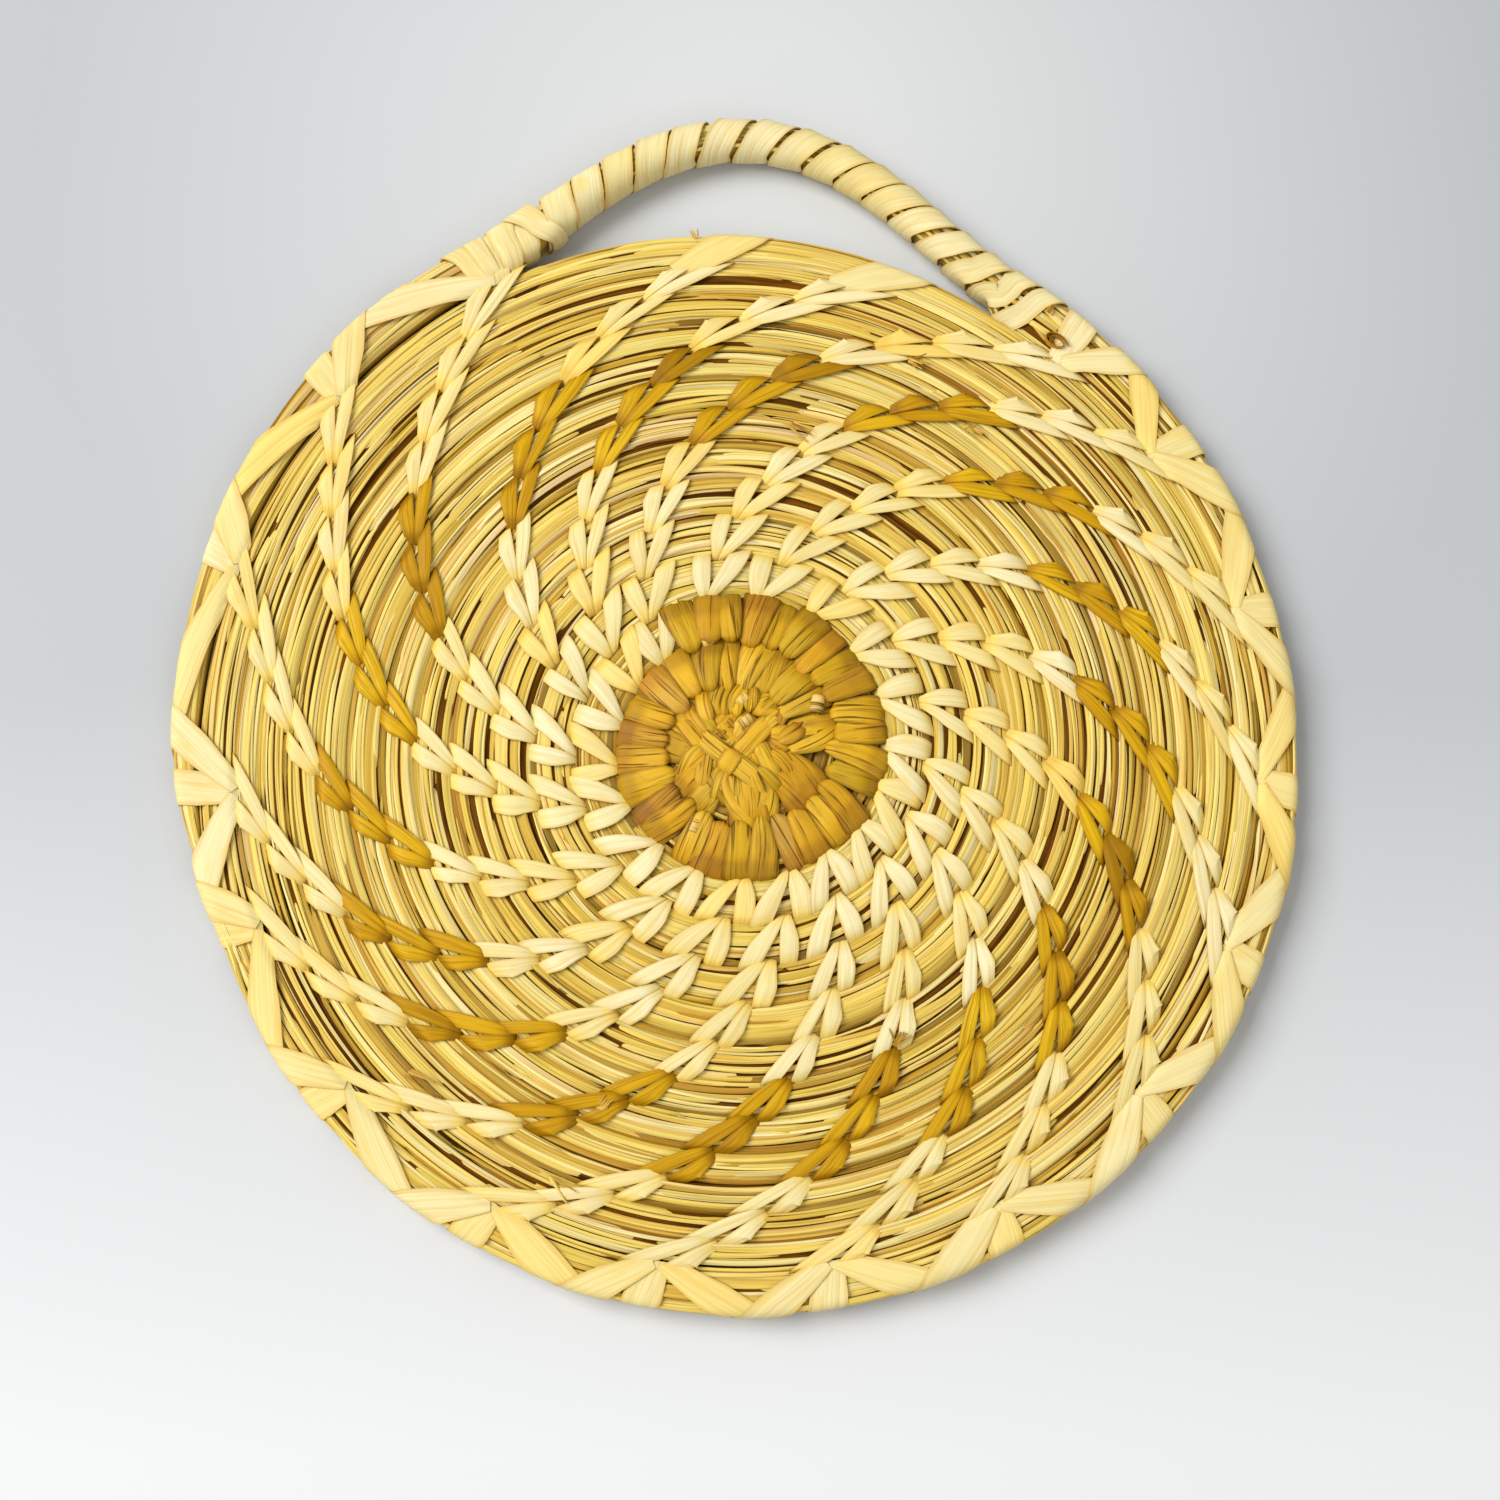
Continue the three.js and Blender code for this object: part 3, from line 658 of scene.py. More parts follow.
def add_arm(weave, rng, head, onward, across, length, side, outer, tone):
    """One arm of a split stitch, from its head in one groove to the next groove, where it dives under the
    grass along that groove. Side is 1 for the wide arm on the side of growing angles and -1 for the slender
    one. Outer is 0 for the open stitches near the centre and 1 for the close ones near the rim."""
    s, z, share, rim_share = through(ARM_SHAPE, ARM_STEPS).T
    share = blend((share, rim_share), outer)
    middle = head + onward * (s * length)[:, None]
    around = np.cross(UP, unit(middle))
    square = outer * (1 - smooth(*SQUARE_UNTIL, s))[:, None]
    around = unit(blend((around, across), square))
    opening = blend(ARM_OPENING, outer) * rng.uniform(*OPENING_SPREAD)
    slit = blend(SLIT_START, outer) * rng.uniform(*SLIT_SPREAD)
    width = blend(WIDE_ARM if side > 0 else SLENDER_ARM, outer) * rng.normal(1, ARM_WIDTH_SPREAD)
    runs = unit(onward * length + around[-1] * side * (opening + width / 2))
    lean = np.linalg.norm(np.cross(runs, around), axis=1)
    v_in = opening / lean * np.clip((s - slit) / (1 - slit), 0, None) ** SLIT_POWER
    v_out = v_in + width / lean * share
    v = v_in[:, None] + (v_out - v_in)[:, None] * ARM_PLACES
    z = z + rng.uniform(*ARM_LIFTS)
    fold = ARM_FOLD * np.cos(2 * np.pi * rng.uniform(*ARM_FOLDS) * ARM_TOP + rng.uniform(*PHASES))
    crown = crowned(2 * ARM_PLACES - 1, ARM_CROWN, fold, ARM_THICK)
    rise = z[:, None] + crown + rng.normal(0, ARM_TWIST) * (ARM_PLACES - 0.5)
    base = middle[:, None, :] + around[:, None, :] * (side * v)[..., None]
    rings = base + UP * (COIL_TOP + rise)[..., None]
    shade = HEAD_SHADE * (1 - smooth(*HEAD_SHADE_RUN, s)) + HEAD_SHADE * smooth(*DIVE_SHADE_RUN, s)
    tones = tone_run(np.clip(tone[0] - shade, DARKEST_ARM, 1), tone[1])
    weave.loft(rings, ARM_PLACES * width, (s * length)[:, None], rng.uniform(*SEEDS), tones,
               np.abs(2 * ARM_PLACES - 1))


def add_back_stitch(weave, rng, head, onward, across, length, tone):
    rows = [(millimetres + share * length, *rest) for millimetres, share, *rest in BACK_SHAPE]
    u, v, z, width = through(rows, BACK_STEPS).T
    path = head + onward * u[:, None] + across * v[:, None] + UP * (BACK_HEIGHT + z)[:, None]
    add_strip(weave, path, -UP, width, rng, tone, crown=0.22, thickness=0.3)


def add_stitches(weave, rng, chain, first, last, tone):
    for row in range(first, last):
        head, onward, across, length = stitch_frame(chain, row)
        head = head + across * rng.normal(0, STITCH_STRAY)
        light = (np.clip(rng.normal(tone, STITCH_TONE_SPREAD), *LEAF_TONES), rng.random())
        outer = float(smooth(0, CLOSE_ROW, row))
        for side in (1, -1):
            add_arm(weave, rng, head, onward, across, length, side, outer, light)
        add_back_stitch(weave, rng, head, onward, across, length, light)


# The rim

EDGE_HALF = 3.7
EDGE_OUT = 0.35
EDGE_STEPS = 16
FLAT_STEPS = 10
RIM_STEPS = 44
RIM_KNOTS = 12
RIM_CROWN = 0.12
RIM_FOLD = 0.05
# Both ends of a rim strip are tucked in, by this depth over this run
TUCK = 0.9
TUCK_RUN = 2
# Heights that the places across a rim strip keep over the floor
RIM_FLOOR = FLOOR_CLEAR + 0.3 * np.arange(len(STRIP_PLACES), 0, -1) / len(STRIP_PLACES)
WIDTH_AT = (0, 0.25, 0.65, 1)
STRAP_WIDTHS = (6.6, 9.2, 8.0)
DIAGONAL_WIDTHS = np.array((4.8, 8.5, 7.4))
DIAGONAL_SPREAD = (0.88, 1.12)
# How far a strip starts inside the row that it ties, how far a diagonal starts aside, and their lifts
STRAP_ROOT = 0.8
STRAP_LIFT = 0.0
DIAGONAL_ROOT = 0.6
DIAGONAL_ASIDE = 1.2
DIAGONAL_LIFTS = {1: 0.25, -1: 0.5}
# Millimetres that a strap leans along the rim, and the same just before the handle's root
STRAP_LEAN = -3
ROOT_STRAP_LEAN = 2
ROOT_STRAPS_FROM = HANDLE_FROM - 16
# The single long strap under the handle
LONG_STRAP_ROOT = 2.2
LONG_STRAP_LIFT = 0.2
LONG_STRAP_LEAD = 6
LONG_STRAP_RUN = 22
# Two neighbours' diagonals meet at this share of the way, more at MEET_ANGLE and less across from it
MEET_SHARE = 0.6
MEET_SWING = 0.09
MEET_ANGLE = 150
# Share of a rim strip's length, and share of its way along the rim that it has gone there
MOVE_AT = (0, 0.3, 0.42, 0.5, 0.6, 1)
MOVE_BY = (0, 0.72, 0.97, 1.08, 1.12, 1.15)
RIM_TONE = (0.58, 0.12)


def rim_profile(root, edge):
    """The way from a radius on the face over the rim to the back: length run, radius, height, slope of the
    outward normal, and how far each place follows the edge where the rim's radius changes."""
    turn = np.radians(np.linspace(90, -90, EDGE_STEPS))
    x = signed_power(np.cos(turn), 2 / BUNDLE_POWER) * (EDGE_HALF + EDGE_OUT)
    z = signed_power(np.sin(turn), 2 / BUNDLE_POWER) * (COIL_HEIGHT / 2 + EDGE_OUT)
    bend = lengths_along(np.stack([x, z], -1))
    slope = np.arctan2(np.gradient(x), -np.gradient(z))
    flat = np.linspace(0, edge - root, FLAT_STEPS)
    front, behind = flat[:-1], flat[1:]
    run = np.concatenate([front, flat[-1] + bend, flat[-1] + bend[-1] + behind])
    radius = np.concatenate([root + front, edge + x, edge - behind])
    height = COIL_MIDDLE + np.concatenate([np.full_like(front, z[0]), z, np.full_like(behind, z[-1])])
    slopes = np.concatenate([np.full_like(front, np.pi / 2), slope, np.full_like(behind, -np.pi / 2)])
    follows = np.concatenate([front / flat[-1], np.ones_like(x), 1 - behind / flat[-1]])
    return run, radius, height, slopes, follows


def rim_strip(weave, rng, root, angle, shift, widths, lift, tone):
    """A strip from a chain's end over the rim to the back, laid close on the rim. It moves along the rim by
    shift millimetres until it is over the edge. Widths are at the chain, at the edge and at the back."""
    outside = outermost(angle)[2]
    run, radii, heights, slopes, follows = rim_profile(root, outside - EDGE_HALF)
    share = np.linspace(0, 1, RIM_STEPS)
    way = np.stack([share * run[-1], shift * np.interp(share, MOVE_AT, MOVE_BY)], -1)
    flow = unit(np.gradient(way, axis=0))
    width = np.interp(share, WIDTH_AT, [widths[0], widths[1], widths[1], widths[2]])
    offset = STRIP_PLACES * width[:, None] / 2
    down = np.clip(way[:, :1] - flow[:, 1:] * offset, 0, run[-1])
    at = angle + np.degrees((way[:, 1:] + flow[:, :1] * offset) / outside)
    knots = np.linspace(at.min(), at.max(), RIM_KNOTS)
    moved = np.interp(at, knots, [outermost(a)[2] - outside for a in knots])
    radius = np.interp(down, run, radii) + np.interp(down, run, follows) * moved
    slope = np.interp(down, run, slopes)[..., None]
    normal = outward(at) * np.cos(slope) + UP * np.sin(slope)
    fold = RIM_FOLD * np.cos(rng.uniform(*PLEAT_COUNTS) * np.pi * STRIP_TOP + rng.uniform(*PHASES))
    dip = TUCK * (1 - smooth(0, TUCK_RUN, down)) + TUCK * smooth(run[-1] - TUCK_RUN, run[-1], down)
    rise = lift + crowned(STRIP_PLACES, RIM_CROWN, fold, STRIP_THICK) - dip
    rings = plan(radius, at, np.interp(down, run, heights)) + normal * rise[..., None]
    rings[..., 2] = np.maximum(rings[..., 2], RIM_FLOOR)
    weave.loft(rings, offset, way[:, :1], rng.uniform(*SEEDS), tone, np.abs(STRIP_PLACES))


def add_rim_fan(weave, rng, chain):
    """The strap and the two diagonals at the end of a chain."""
    angle = stitch(chain, rows_of(chain))[1] % 360
    _, inside, outside = outermost(angle)
    tones = [(np.clip(rng.normal(*RIM_TONE), 0, 1), rng.random()) for _ in range(3)]
    if under_handle(angle):
        start = angle + math.degrees(LONG_STRAP_LEAD / inside)
        rim_strip(weave, rng, inside - LONG_STRAP_ROOT, start, -LONG_STRAP_RUN, STRAP_WIDTHS,
                  LONG_STRAP_LIFT, tones[0])
        return
    lean = ROOT_STRAP_LEAN if ROOT_STRAPS_FROM < angle < HANDLE_FROM else STRAP_LEAN
    rim_strip(weave, rng, inside - STRAP_ROOT, angle, lean, STRAP_WIDTHS, STRAP_LIFT, tones[0])
    for side in (-1, 1):
        near = (chain + side) % CHAINS
        away = (stitch(near, rows_of(near))[1] - angle + 180) % 360 - 180
        share = MEET_SHARE + MEET_SWING * math.cos(math.radians(angle + away / 2 - MEET_ANGLE))
        meet = away * (share if side > 0 else 1 - share)
        if under_handle(angle + meet):
            continue
        aside = math.degrees(side * DIAGONAL_ASIDE / inside)
        shift = math.radians(meet - aside) * outside
        widths = DIAGONAL_WIDTHS * rng.uniform(*DIAGONAL_SPREAD)
        rim_strip(weave, rng, inside - DIAGONAL_ROOT, angle + aside, shift, widths, DIAGONAL_LIFTS[side],
                  tones[side])


# The middle of the lightness of a chain's stretches, from the centre out
INNER_TONE = 0.7
GOLD_TONE = 0.43
OUTER_TONE = 0.66
FIRST_CHAIN_SEED = 100


def make_chains(materials):
    pieces = {}
    for chain in range(CHAINS):
        rng = np.random.default_rng(FIRST_CHAIN_SEED + chain)
        outer = INNER_ROWS + GOLD_ROWS
        label = f"{chain + 1:02d}"
        runs = [
            (f"stitch_chain_{label}_inner", 0, INNER_ROWS, INNER_TONE, "cream"),
            (f"stitch_chain_{label}_gold", INNER_ROWS, outer, GOLD_TONE, "gold"),
            (f"rim_tie_{label}", outer, rows_of(chain), OUTER_TONE, "cream"),
        ]
        for node, first, last, tone, finish in runs:
            weave = Weave()
            add_stitches(weave, rng, chain, first, last, tone)
            if node.startswith("rim"):
                add_rim_fan(weave, rng, chain)
            pieces[node] = weave.build(f"{node}.leaf", materials[finish])
    return pieces


# The centre

# Colours of kind above this are for the pale cut ends only
LAST_KIND = 0.9
CENTRE_TONES = (0.03, 0.97)
PETAL_SPACING = 6.1
PETAL_STEPS = 24
PETAL_OVERLAP = 1.14
# Along a petal's head: the place in millimetres from its groove, the height and the share of width
PETAL_HEAD = [
    (-4.4, -0.9, 0.1), (-4.1, 0.2, 0.34), (-3.1, 1.15, 0.63), (-1.6, 1.75, 0.84), (0.4, 2.0, 0.97),
]
# The same for the rest, with the place as a share of the row's width
PETAL_BODY = [(0.35, 1.6, 1.06), (0.65, 1.0, 1.08), (0.95, 0.2, 1.05), (1.06, -1.2, 0.92)]
# How petals differ: width, length of the head and of the body, place, height, lightness, tilt and lean
PETAL_WIDTH_SPREAD = 0.06
HEAD_LENGTHS = (0.3, 0.95)
BODY_LENGTHS = (0.92, 1.07)
PETAL_STRAY = 0.6
PETAL_LIFTS = (-0.5, 0.6)
PETAL_TONE = (0.5, 0.22)
PETAL_TILT = (0.4, 0.2)
PETAL_LEAN = -3
LEAN_SWING = 2
LEAN_SPREAD = 1.5
PETAL_CROWN = 0.65
BACK_PETAL_CROWN = 0.2
BACK_PETAL_HEIGHT = 0.5
PETAL_PLEATS = 0.16
INNERMOST = 6
WIDTH_FROM_RADIUS = 11
# The shade under the next row's petals, by share of the row's width, and at a petal's tip
PETAL_SHADE = 0.62
PETAL_SHADE_RUN = (0.4, 0.85)
TIP_SHADE = 0.4
TIP_SHADE_RUN = 2.5
# The petals lie between these turns, a little inside the coil's start and the first chain
PETALS_FROM = COIL_FROM + 0.03
PETALS_TO = FIRST_STITCH_TURN - 0.02
# Within this range of radius petals turn from ragged ones round the plait to even ones. Ragged ones are
# wider, turn more and lie lower
RAGGED_RADII = (15, 25)
RAGGED_WIDER = 0.2
RAGGED_TURN = 14
RAGGED_LOWER = 0.4
# Along a torn end: the radius, the height and the share of width
TORN_ENDS = 19
TORN_STEPS = 18
TORN_SHAPE = [
    (7.4, 1.0, 0.1), (8.4, 2.2, 0.55), (10.2, 2.5, 0.95), (12.6, 2.0, 1.0), (15.0, 0.9, 0.9),
    (16.5, -0.6, 0.7),
]
TORN_RADIUS_SPREAD = 0.9
TORN_ANGLE_SPREAD = 6
TORN_BEND = 2
TORN_LIFTS = (-0.4, 0.4)
TORN_TONE = (0.6, 0.22)
TORN_SHADE_RUN = (13, 16)
TORN_WIDTHS = (3.0, 4.8)
TORN_TILT = 0.5


def shaded_tone(rng, tone, shade):
    """Tones along a strip of the centre: a random lightness less the shade at each step, and a kind."""
    light = np.clip(np.clip(rng.normal(*tone), *CENTRE_TONES) - shade, 0, 1)
    return tone_run(light, rng.uniform(0, LAST_KIND))


def add_petal(weave, rng, turn, step, lean, face):
    """One wide stitch of the golden centre, from its round inner end to the groove outside it. Step is the
    turns to the next one."""
    inner, outer = float(groove(turn)), float(groove(turn + 1))
    reach = outer - inner
    ragged = 1 - float(smooth(*RAGGED_RADII, (inner + outer) / 2))
    fat = rng.normal(1 + RAGGED_WIDER * ragged, PETAL_WIDTH_SPREAD) * PETAL_OVERLAP * 2 * np.pi * step
    long = rng.uniform(*HEAD_LENGTHS)
    head = [(place * long, height, share) for place, height, share in PETAL_HEAD]
    stretch = reach * rng.uniform(*BODY_LENGTHS)
    body = [(place * stretch, height, share) for place, height, share in PETAL_BODY]
    u, z, wide = through(head + body, PETAL_STEPS).T
    radius = np.maximum(inner + u, INNERMOST)
    bend = (lean + rng.normal(0, RAGGED_TURN) * ragged) * u / reach
    angle = float(angle_at(turn)) + bend + rng.normal(0, PETAL_STRAY)
    lift = rng.uniform(*PETAL_LIFTS) - RAGGED_LOWER * ragged
    height = COIL_TOP + z + lift if face > 0 else BACK_PETAL_HEIGHT - np.minimum(z, 0.0)
    shade = PETAL_SHADE * smooth(*PETAL_SHADE_RUN, u / reach)
    shade = shade + TIP_SHADE * (1 - smooth(0, TIP_SHADE_RUN, u - u[0]))
    tone = shaded_tone(rng, PETAL_TONE, shade)
    crown, tilt = (PETAL_CROWN, rng.normal(*PETAL_TILT)) if face > 0 else (BACK_PETAL_CROWN, 0.0)
    width = wide * fat * np.maximum(radius, WIDTH_FROM_RADIUS)
    add_strip(weave, plan(radius, angle, height), UP * face, width, rng, tone, crown=crown,
              pleats=PETAL_PLEATS, tilt=tilt)


def add_torn_ends(weave, rng):
    """The torn ends of the first stitches, which lie round the plait."""
    for n in range(TORN_ENDS):
        u, z, wide = through(TORN_SHAPE, TORN_STEPS).T
        u = u + rng.normal(0, TORN_RADIUS_SPREAD)
        angle = 360 * n / TORN_ENDS + rng.normal(0, TORN_ANGLE_SPREAD)
        angle = angle + rng.normal(0, TORN_BEND) * (u - u[0])
        path = plan(u, angle, COIL_TOP + z + rng.uniform(*TORN_LIFTS))
        tone = shaded_tone(rng, TORN_TONE, PETAL_SHADE * smooth(*TORN_SHADE_RUN, u))
        width = wide * rng.uniform(*TORN_WIDTHS)
        add_strip(weave, path, UP, width, rng, tone, crown=0.5, pleats=0.2, tilt=rng.normal(0, TORN_TILT))


def make_petals(materials):
    rng = np.random.default_rng(5)
    weave = Weave()
    turn = PETALS_FROM
    swing = LEAN_SWING
    while turn < PETALS_TO:
        step = PETAL_SPACING / coil_run(turn)
        add_petal(weave, rng, turn, step, rng.normal(swing, LEAN_SPREAD) + PETAL_LEAN, 1)
        add_petal(weave, rng, turn, step, PETAL_LEAN, -1)
        swing = -swing
        turn += step
    add_torn_ends(weave, rng)
    return weave.build("centre_winding.petals", materials["centre"])


PLAIT_ANGLE = -44
PLAIT_MIDDLE = np.array([-1.0, -2.5, 0.0])
PLAIT_STRIPS = 4
PLAIT_STEP = 5.3
PLAIT_WIDTH = 4.7
PLAIT_REACH = 11.5
PLAIT_STEPS = 26
# By face: the height of the plait's strips, of their waves over and under each other and of their bent ends
PLAIT_HEIGHTS = {1: (COIL_TOP + 1.4, 0.5, -2.2), -1: (0.75, -0.25, 1.5)}
# The ends are bent and thin from this place on
PLAIT_EDGE = 7.5
PLAIT_ENDS_THIN = 0.5
# How the plait's strips differ: angle, height on each face, bow and its length, lightness and width
PLAIT_TURN = 4
PLAIT_LIFTS = {1: 0.25, -1: 0.0}
PLAIT_BOW = 0.35
PLAIT_BOW_LENGTH = 5
PLAIT_TONE = (0.5, 0.25)
PLAIT_WIDTH_SPREAD = 0.1
# Radius and height along the pad inside the plait, coloured dark as painted shade in the plait's gaps
PAD = [(0.5, 9.0), (7, 8.9), (9.6, 8.0), (10.0, 6.5), (10.0, 2.5), (9.4, 1.4), (7, 1.2), (0.5, 1.2)]
PAD_SIDES = 28
PAD_ACROSS = 3
PAD_SEED = 3.0
PAD_SHADE_TONE = (0.1, 0.4)
# Place, direction, length, width and height of the strips that lie over the plait
PLAIT_TOP = [
    (-2.0, -4.5, -43, 26, 5.4, 3.0), (-2.6, -4.6, 50, 7, 5.0, 3.7), (3.5, 1.5, 42, 15, 5.2, 2.5),
    (-9.0, -5.5, 75, 12, 4.0, 2.4), (6.5, -4.0, -70, 12, 4.2, 2.6), (-11.5, 1.5, -60, 12, 4.4, 2.3),
]
TOP_STEPS = 24
TOP_BOW = 0.5
TOP_BOW_LENGTH = 4
TOP_TONES = (0.6, 0.9)
TOP_KINDS = (0.2, 0.6)
# Share of its width that such a strip has at its ends
TOP_END_WIDTH = 0.7


def add_plait_strip(weave, rng, face, layer, n):
    """One strip of the plait's two layers, which pass over and under each other."""
    middle = (PLAIT_STRIPS - 1) / 2
    s = np.linspace(-PLAIT_REACH, PLAIT_REACH, PLAIT_STEPS)
    heading = PLAIT_ANGLE + 90 * layer + rng.normal(0, PLAIT_TURN)
    wave = np.cos(np.pi * (s / PLAIT_STEP + n + layer + middle))
    edge = smooth(PLAIT_EDGE, PLAIT_REACH, np.abs(s))
    middle_height, wave_height, end_height = PLAIT_HEIGHTS[face]
    lift = rng.uniform(-1, 1) * PLAIT_LIFTS[face]
    z = middle_height + (wave_height * wave + lift) + end_height * edge
    aside = (n - middle) * PLAIT_STEP + rng.normal(0, PLAIT_BOW) * np.sin(s / PLAIT_BOW_LENGTH)
    path = PLAIT_MIDDLE + outward(heading) * s[:, None] + outward(heading + 90) * aside[:, None]
    tone = (np.clip(rng.normal(*PLAIT_TONE), *LEAF_TONES), rng.uniform(0, LAST_KIND))
    width = PLAIT_WIDTH * rng.normal(1, PLAIT_WIDTH_SPREAD) * (1 - PLAIT_ENDS_THIN * edge)
    add_strip(weave, path + UP * z[:, None], UP * face, width, rng, tone, crown=0.4, pleats=0.14)


def add_pad(weave):
    radius, height = np.array(PAD).T
    turn = 2 * np.pi * np.arange(PAD_SIDES) / PAD_SIDES
    ring = np.stack([np.cos(turn), np.sin(turn), np.zeros_like(turn)], -1)
    rings = ring * radius[:, None, None] + UP * height[:, None, None]
    weave.loft(rings, turn * PAD_ACROSS, radius[:, None], PAD_SEED, PAD_SHADE_TONE)


def add_top_strip(weave, rng, x, y, heading, length, wide, over):
    s = np.linspace(-length / 2, length / 2, TOP_STEPS)
    arch = 1 - (2 * s / length) ** 4
    bow = TOP_BOW * np.sin(s / TOP_BOW_LENGTH)
    flat = outward(heading) * s[:, None] + outward(heading + 90) * bow[:, None]
    path = np.array([x, y, COIL_TOP]) + flat + UP * (over * arch)[:, None]
    tone = (rng.uniform(*TOP_TONES), rng.uniform(*TOP_KINDS))
    add_strip(weave, path, UP, wide * blend((TOP_END_WIDTH, 1), arch), rng, tone, crown=0.5, pleats=0.12)


# Cut ends of strips and stray ends of grass

END_ON = "end on"
# Place in millimetres, height over the coil, direction, radius, width and turns of each curled end
CURLS = [
    (-8.2, 26.5, 0.9, 20, 1.5, 3.0, 1.4), (0.5, 11.0, 1.5, 30, 1.6, 3.8, 1.5),
    (1.5, 5.5, 1.8, 35, 1.5, 3.4, 1.4), (19.5, 10.0, 1.6, 80, 1.9, 4.6, 0.8),
    (-11.0, -21.0, 1.3, 70, 1.5, 3.2, 1.3), (82.2, 107.6, 0.6, END_ON, 2.4, 2.4, 1.7),
]
CURL_STEPS = 30
CURL_START = 0.4
CURL_TIGHTENS = 0.45
CURL_TONES = (0.85, 0.98)
CURL_KIND = 0.97
# A curl that is seen end on lies flat. Its long way and its short way, and its tone
END_ON_TIGHTENS = 0.6
END_ON_LONG = 1.5 * outward(-35)
END_ON_SHORT = 0.9 * outward(55)
END_ON_TONE = (0.55, 0.08)
# Place in millimetres, direction, length and count of the broken ends that stand in the slits of stitches
TUFTS = [
    (44.0, 103.0, -20, 4.5, 7), (58.5, 84.5, -30, 4.5, 7), (38.0, -75.0, 70, 4.5, 7),
    (-34.0, -90.5, 30, 4.0, 7), (13.0, 85.0, -60, 9.0, 3), (-45.5, -106.0, -35, 9.0, 3),
    (-80.0, -81.0, -50, 9.0, 3), (81.0, 115.5, 55, 3.0, 3), (-11.5, 137.4, 105, 3.0, 3),
]
TUFT_STEPS = 8
TUFT_OVER = 0.5
TUFT_TURN = 22
TUFT_ASIDE = 0.8
TUFT_LENGTHS = (0.6, 1.1)
TUFT_CLIMBS = (0.05, 0.3)
TUFT_WIDTHS = (0.5, 0.9)
TUFT_THINS = 0.6
TUFT_TONES = (0.1, 0.6)
TUFT_KINDS = (0, 0.1)


def add_curl(weave, rng, x, y, over, heading, radius, width, turns):
    """A cut end of a strip that has rolled up."""
    a = np.linspace(CURL_START, CURL_START + 2 * np.pi * turns, CURL_STEPS)[:, None]
    if heading == END_ON:
        tightens, flat, rise, tone = END_ON_TIGHTENS, END_ON_LONG, END_ON_SHORT, END_ON_TONE
    else:
        tightens, flat, rise = CURL_TIGHTENS, outward(heading + 90), UP
        tone = (rng.uniform(*CURL_TONES), CURL_KIND)
    away = radius * (1 - tightens * (a - a[0]) / (a[-1] - a[0]))
    normal = flat * np.cos(a) + rise * np.sin(a)
    path = np.array([x, y, COIL_TOP + over]) + normal * away
    add_strip(weave, path, normal, np.full(CURL_STEPS, width), rng, tone, crown=0.1, pleats=0.05)


def make_plait(materials):
    """The plaited start, with the strips over it and all curled ends."""
    rng = np.random.default_rng(8)
    weave = Weave()
    for face in (1, -1):
        for layer in (0, 1):
            for n in range(PLAIT_STRIPS):
                add_plait_strip(weave, rng, face, layer, n)
    add_pad(weave)
    for row in PLAIT_TOP:
        add_top_strip(weave, rng, *row)
    for curl in CURLS:
        add_curl(weave, rng, *curl)
    return weave.build("start_button.plait", materials["centre"])


def make_tufts(materials):
    rng = np.random.default_rng(31)
    weave = Weave()
    for x, y, heading, length, count in TUFTS:
        for _ in range(count):
            way = heading + rng.normal(0, TUFT_TURN)
            run = np.linspace(0, length * rng.uniform(*TUFT_LENGTHS), TUFT_STEPS)
            start = np.array([x, y, COIL_TOP + TUFT_OVER])
            start = start + outward(heading + 90) * rng.normal(0, TUFT_ASIDE)
            climb = run * rng.uniform(*TUFT_CLIMBS)
            path = start + outward(way) * run[:, None] + UP * climb[:, None]
            width = rng.uniform(*TUFT_WIDTHS) * (1 - TUFT_THINS * run / run[-1])
            tone = (rng.uniform(*TUFT_TONES), rng.uniform(*TUFT_KINDS))
            add_strip(weave, path, UP, width, rng, tone, crown=0.4, thickness=0.5)
    return weave.build("grass_tufts", materials["grass"])


# The handle's bundle and wrapping

BUNDLE_FROM = HANDLE_FROM - 8
BUNDLE_CORE_FROM = HANDLE_FROM - 2
BUNDLE_CORE_STEPS = 90
# Face and lanes of the bundle's blades, with their lightness and widths
BUNDLE_LANES = ((1, 6), (-1, 5), (0, 4))
BUNDLE_TONE = (0.76, 0.15)
BUNDLE_WIDTHS = (1.3, 2.3)
LEAST_HEIGHT = 0.42
WRAP_FROM = 57.0
WRAP_TO = 111.5
WRAP_TURNS = 16
WRAP_STEPS = 32
WRAP_OUT = 0.55
# Slant and width at the wrapping's start and end, and how much wider it is away from the face
WRAP_SLANTS = (3.5, 1.6)
WRAP_WIDTHS = (6.3, 8.5)
WRAP_SPREAD = 0.22
WRAP_SPREAD_RUN = (0, 0.7)
# How its turns differ: place as a share of the pitch, lightness and width
WRAP_STRAY = 0.07
WRAP_TONE = (0.78, 0.1)
WRAP_KIND = 0.4
WRAP_WIDTH_SPREAD = 0.04
# Inner angle, outer angle, width and lift of the bands that bind the handle to the rim
ROOT_BANDS = [
    (113.0, 111.8, 8.6, 0.1), (117.9, 119.8, 6.5, 0.2), (117.0, 117.4, 6.0, 0.4), (115.2, 113.9, 8.8, 0.6),
    (109.8, 112.2, 8.0, 0.9),
]
BAND_STEPS = 40
BAND_TONES = (0.55, 0.75)
# Share of its width that a band has on its inner side
BAND_INNER_WIDTH = 0.6


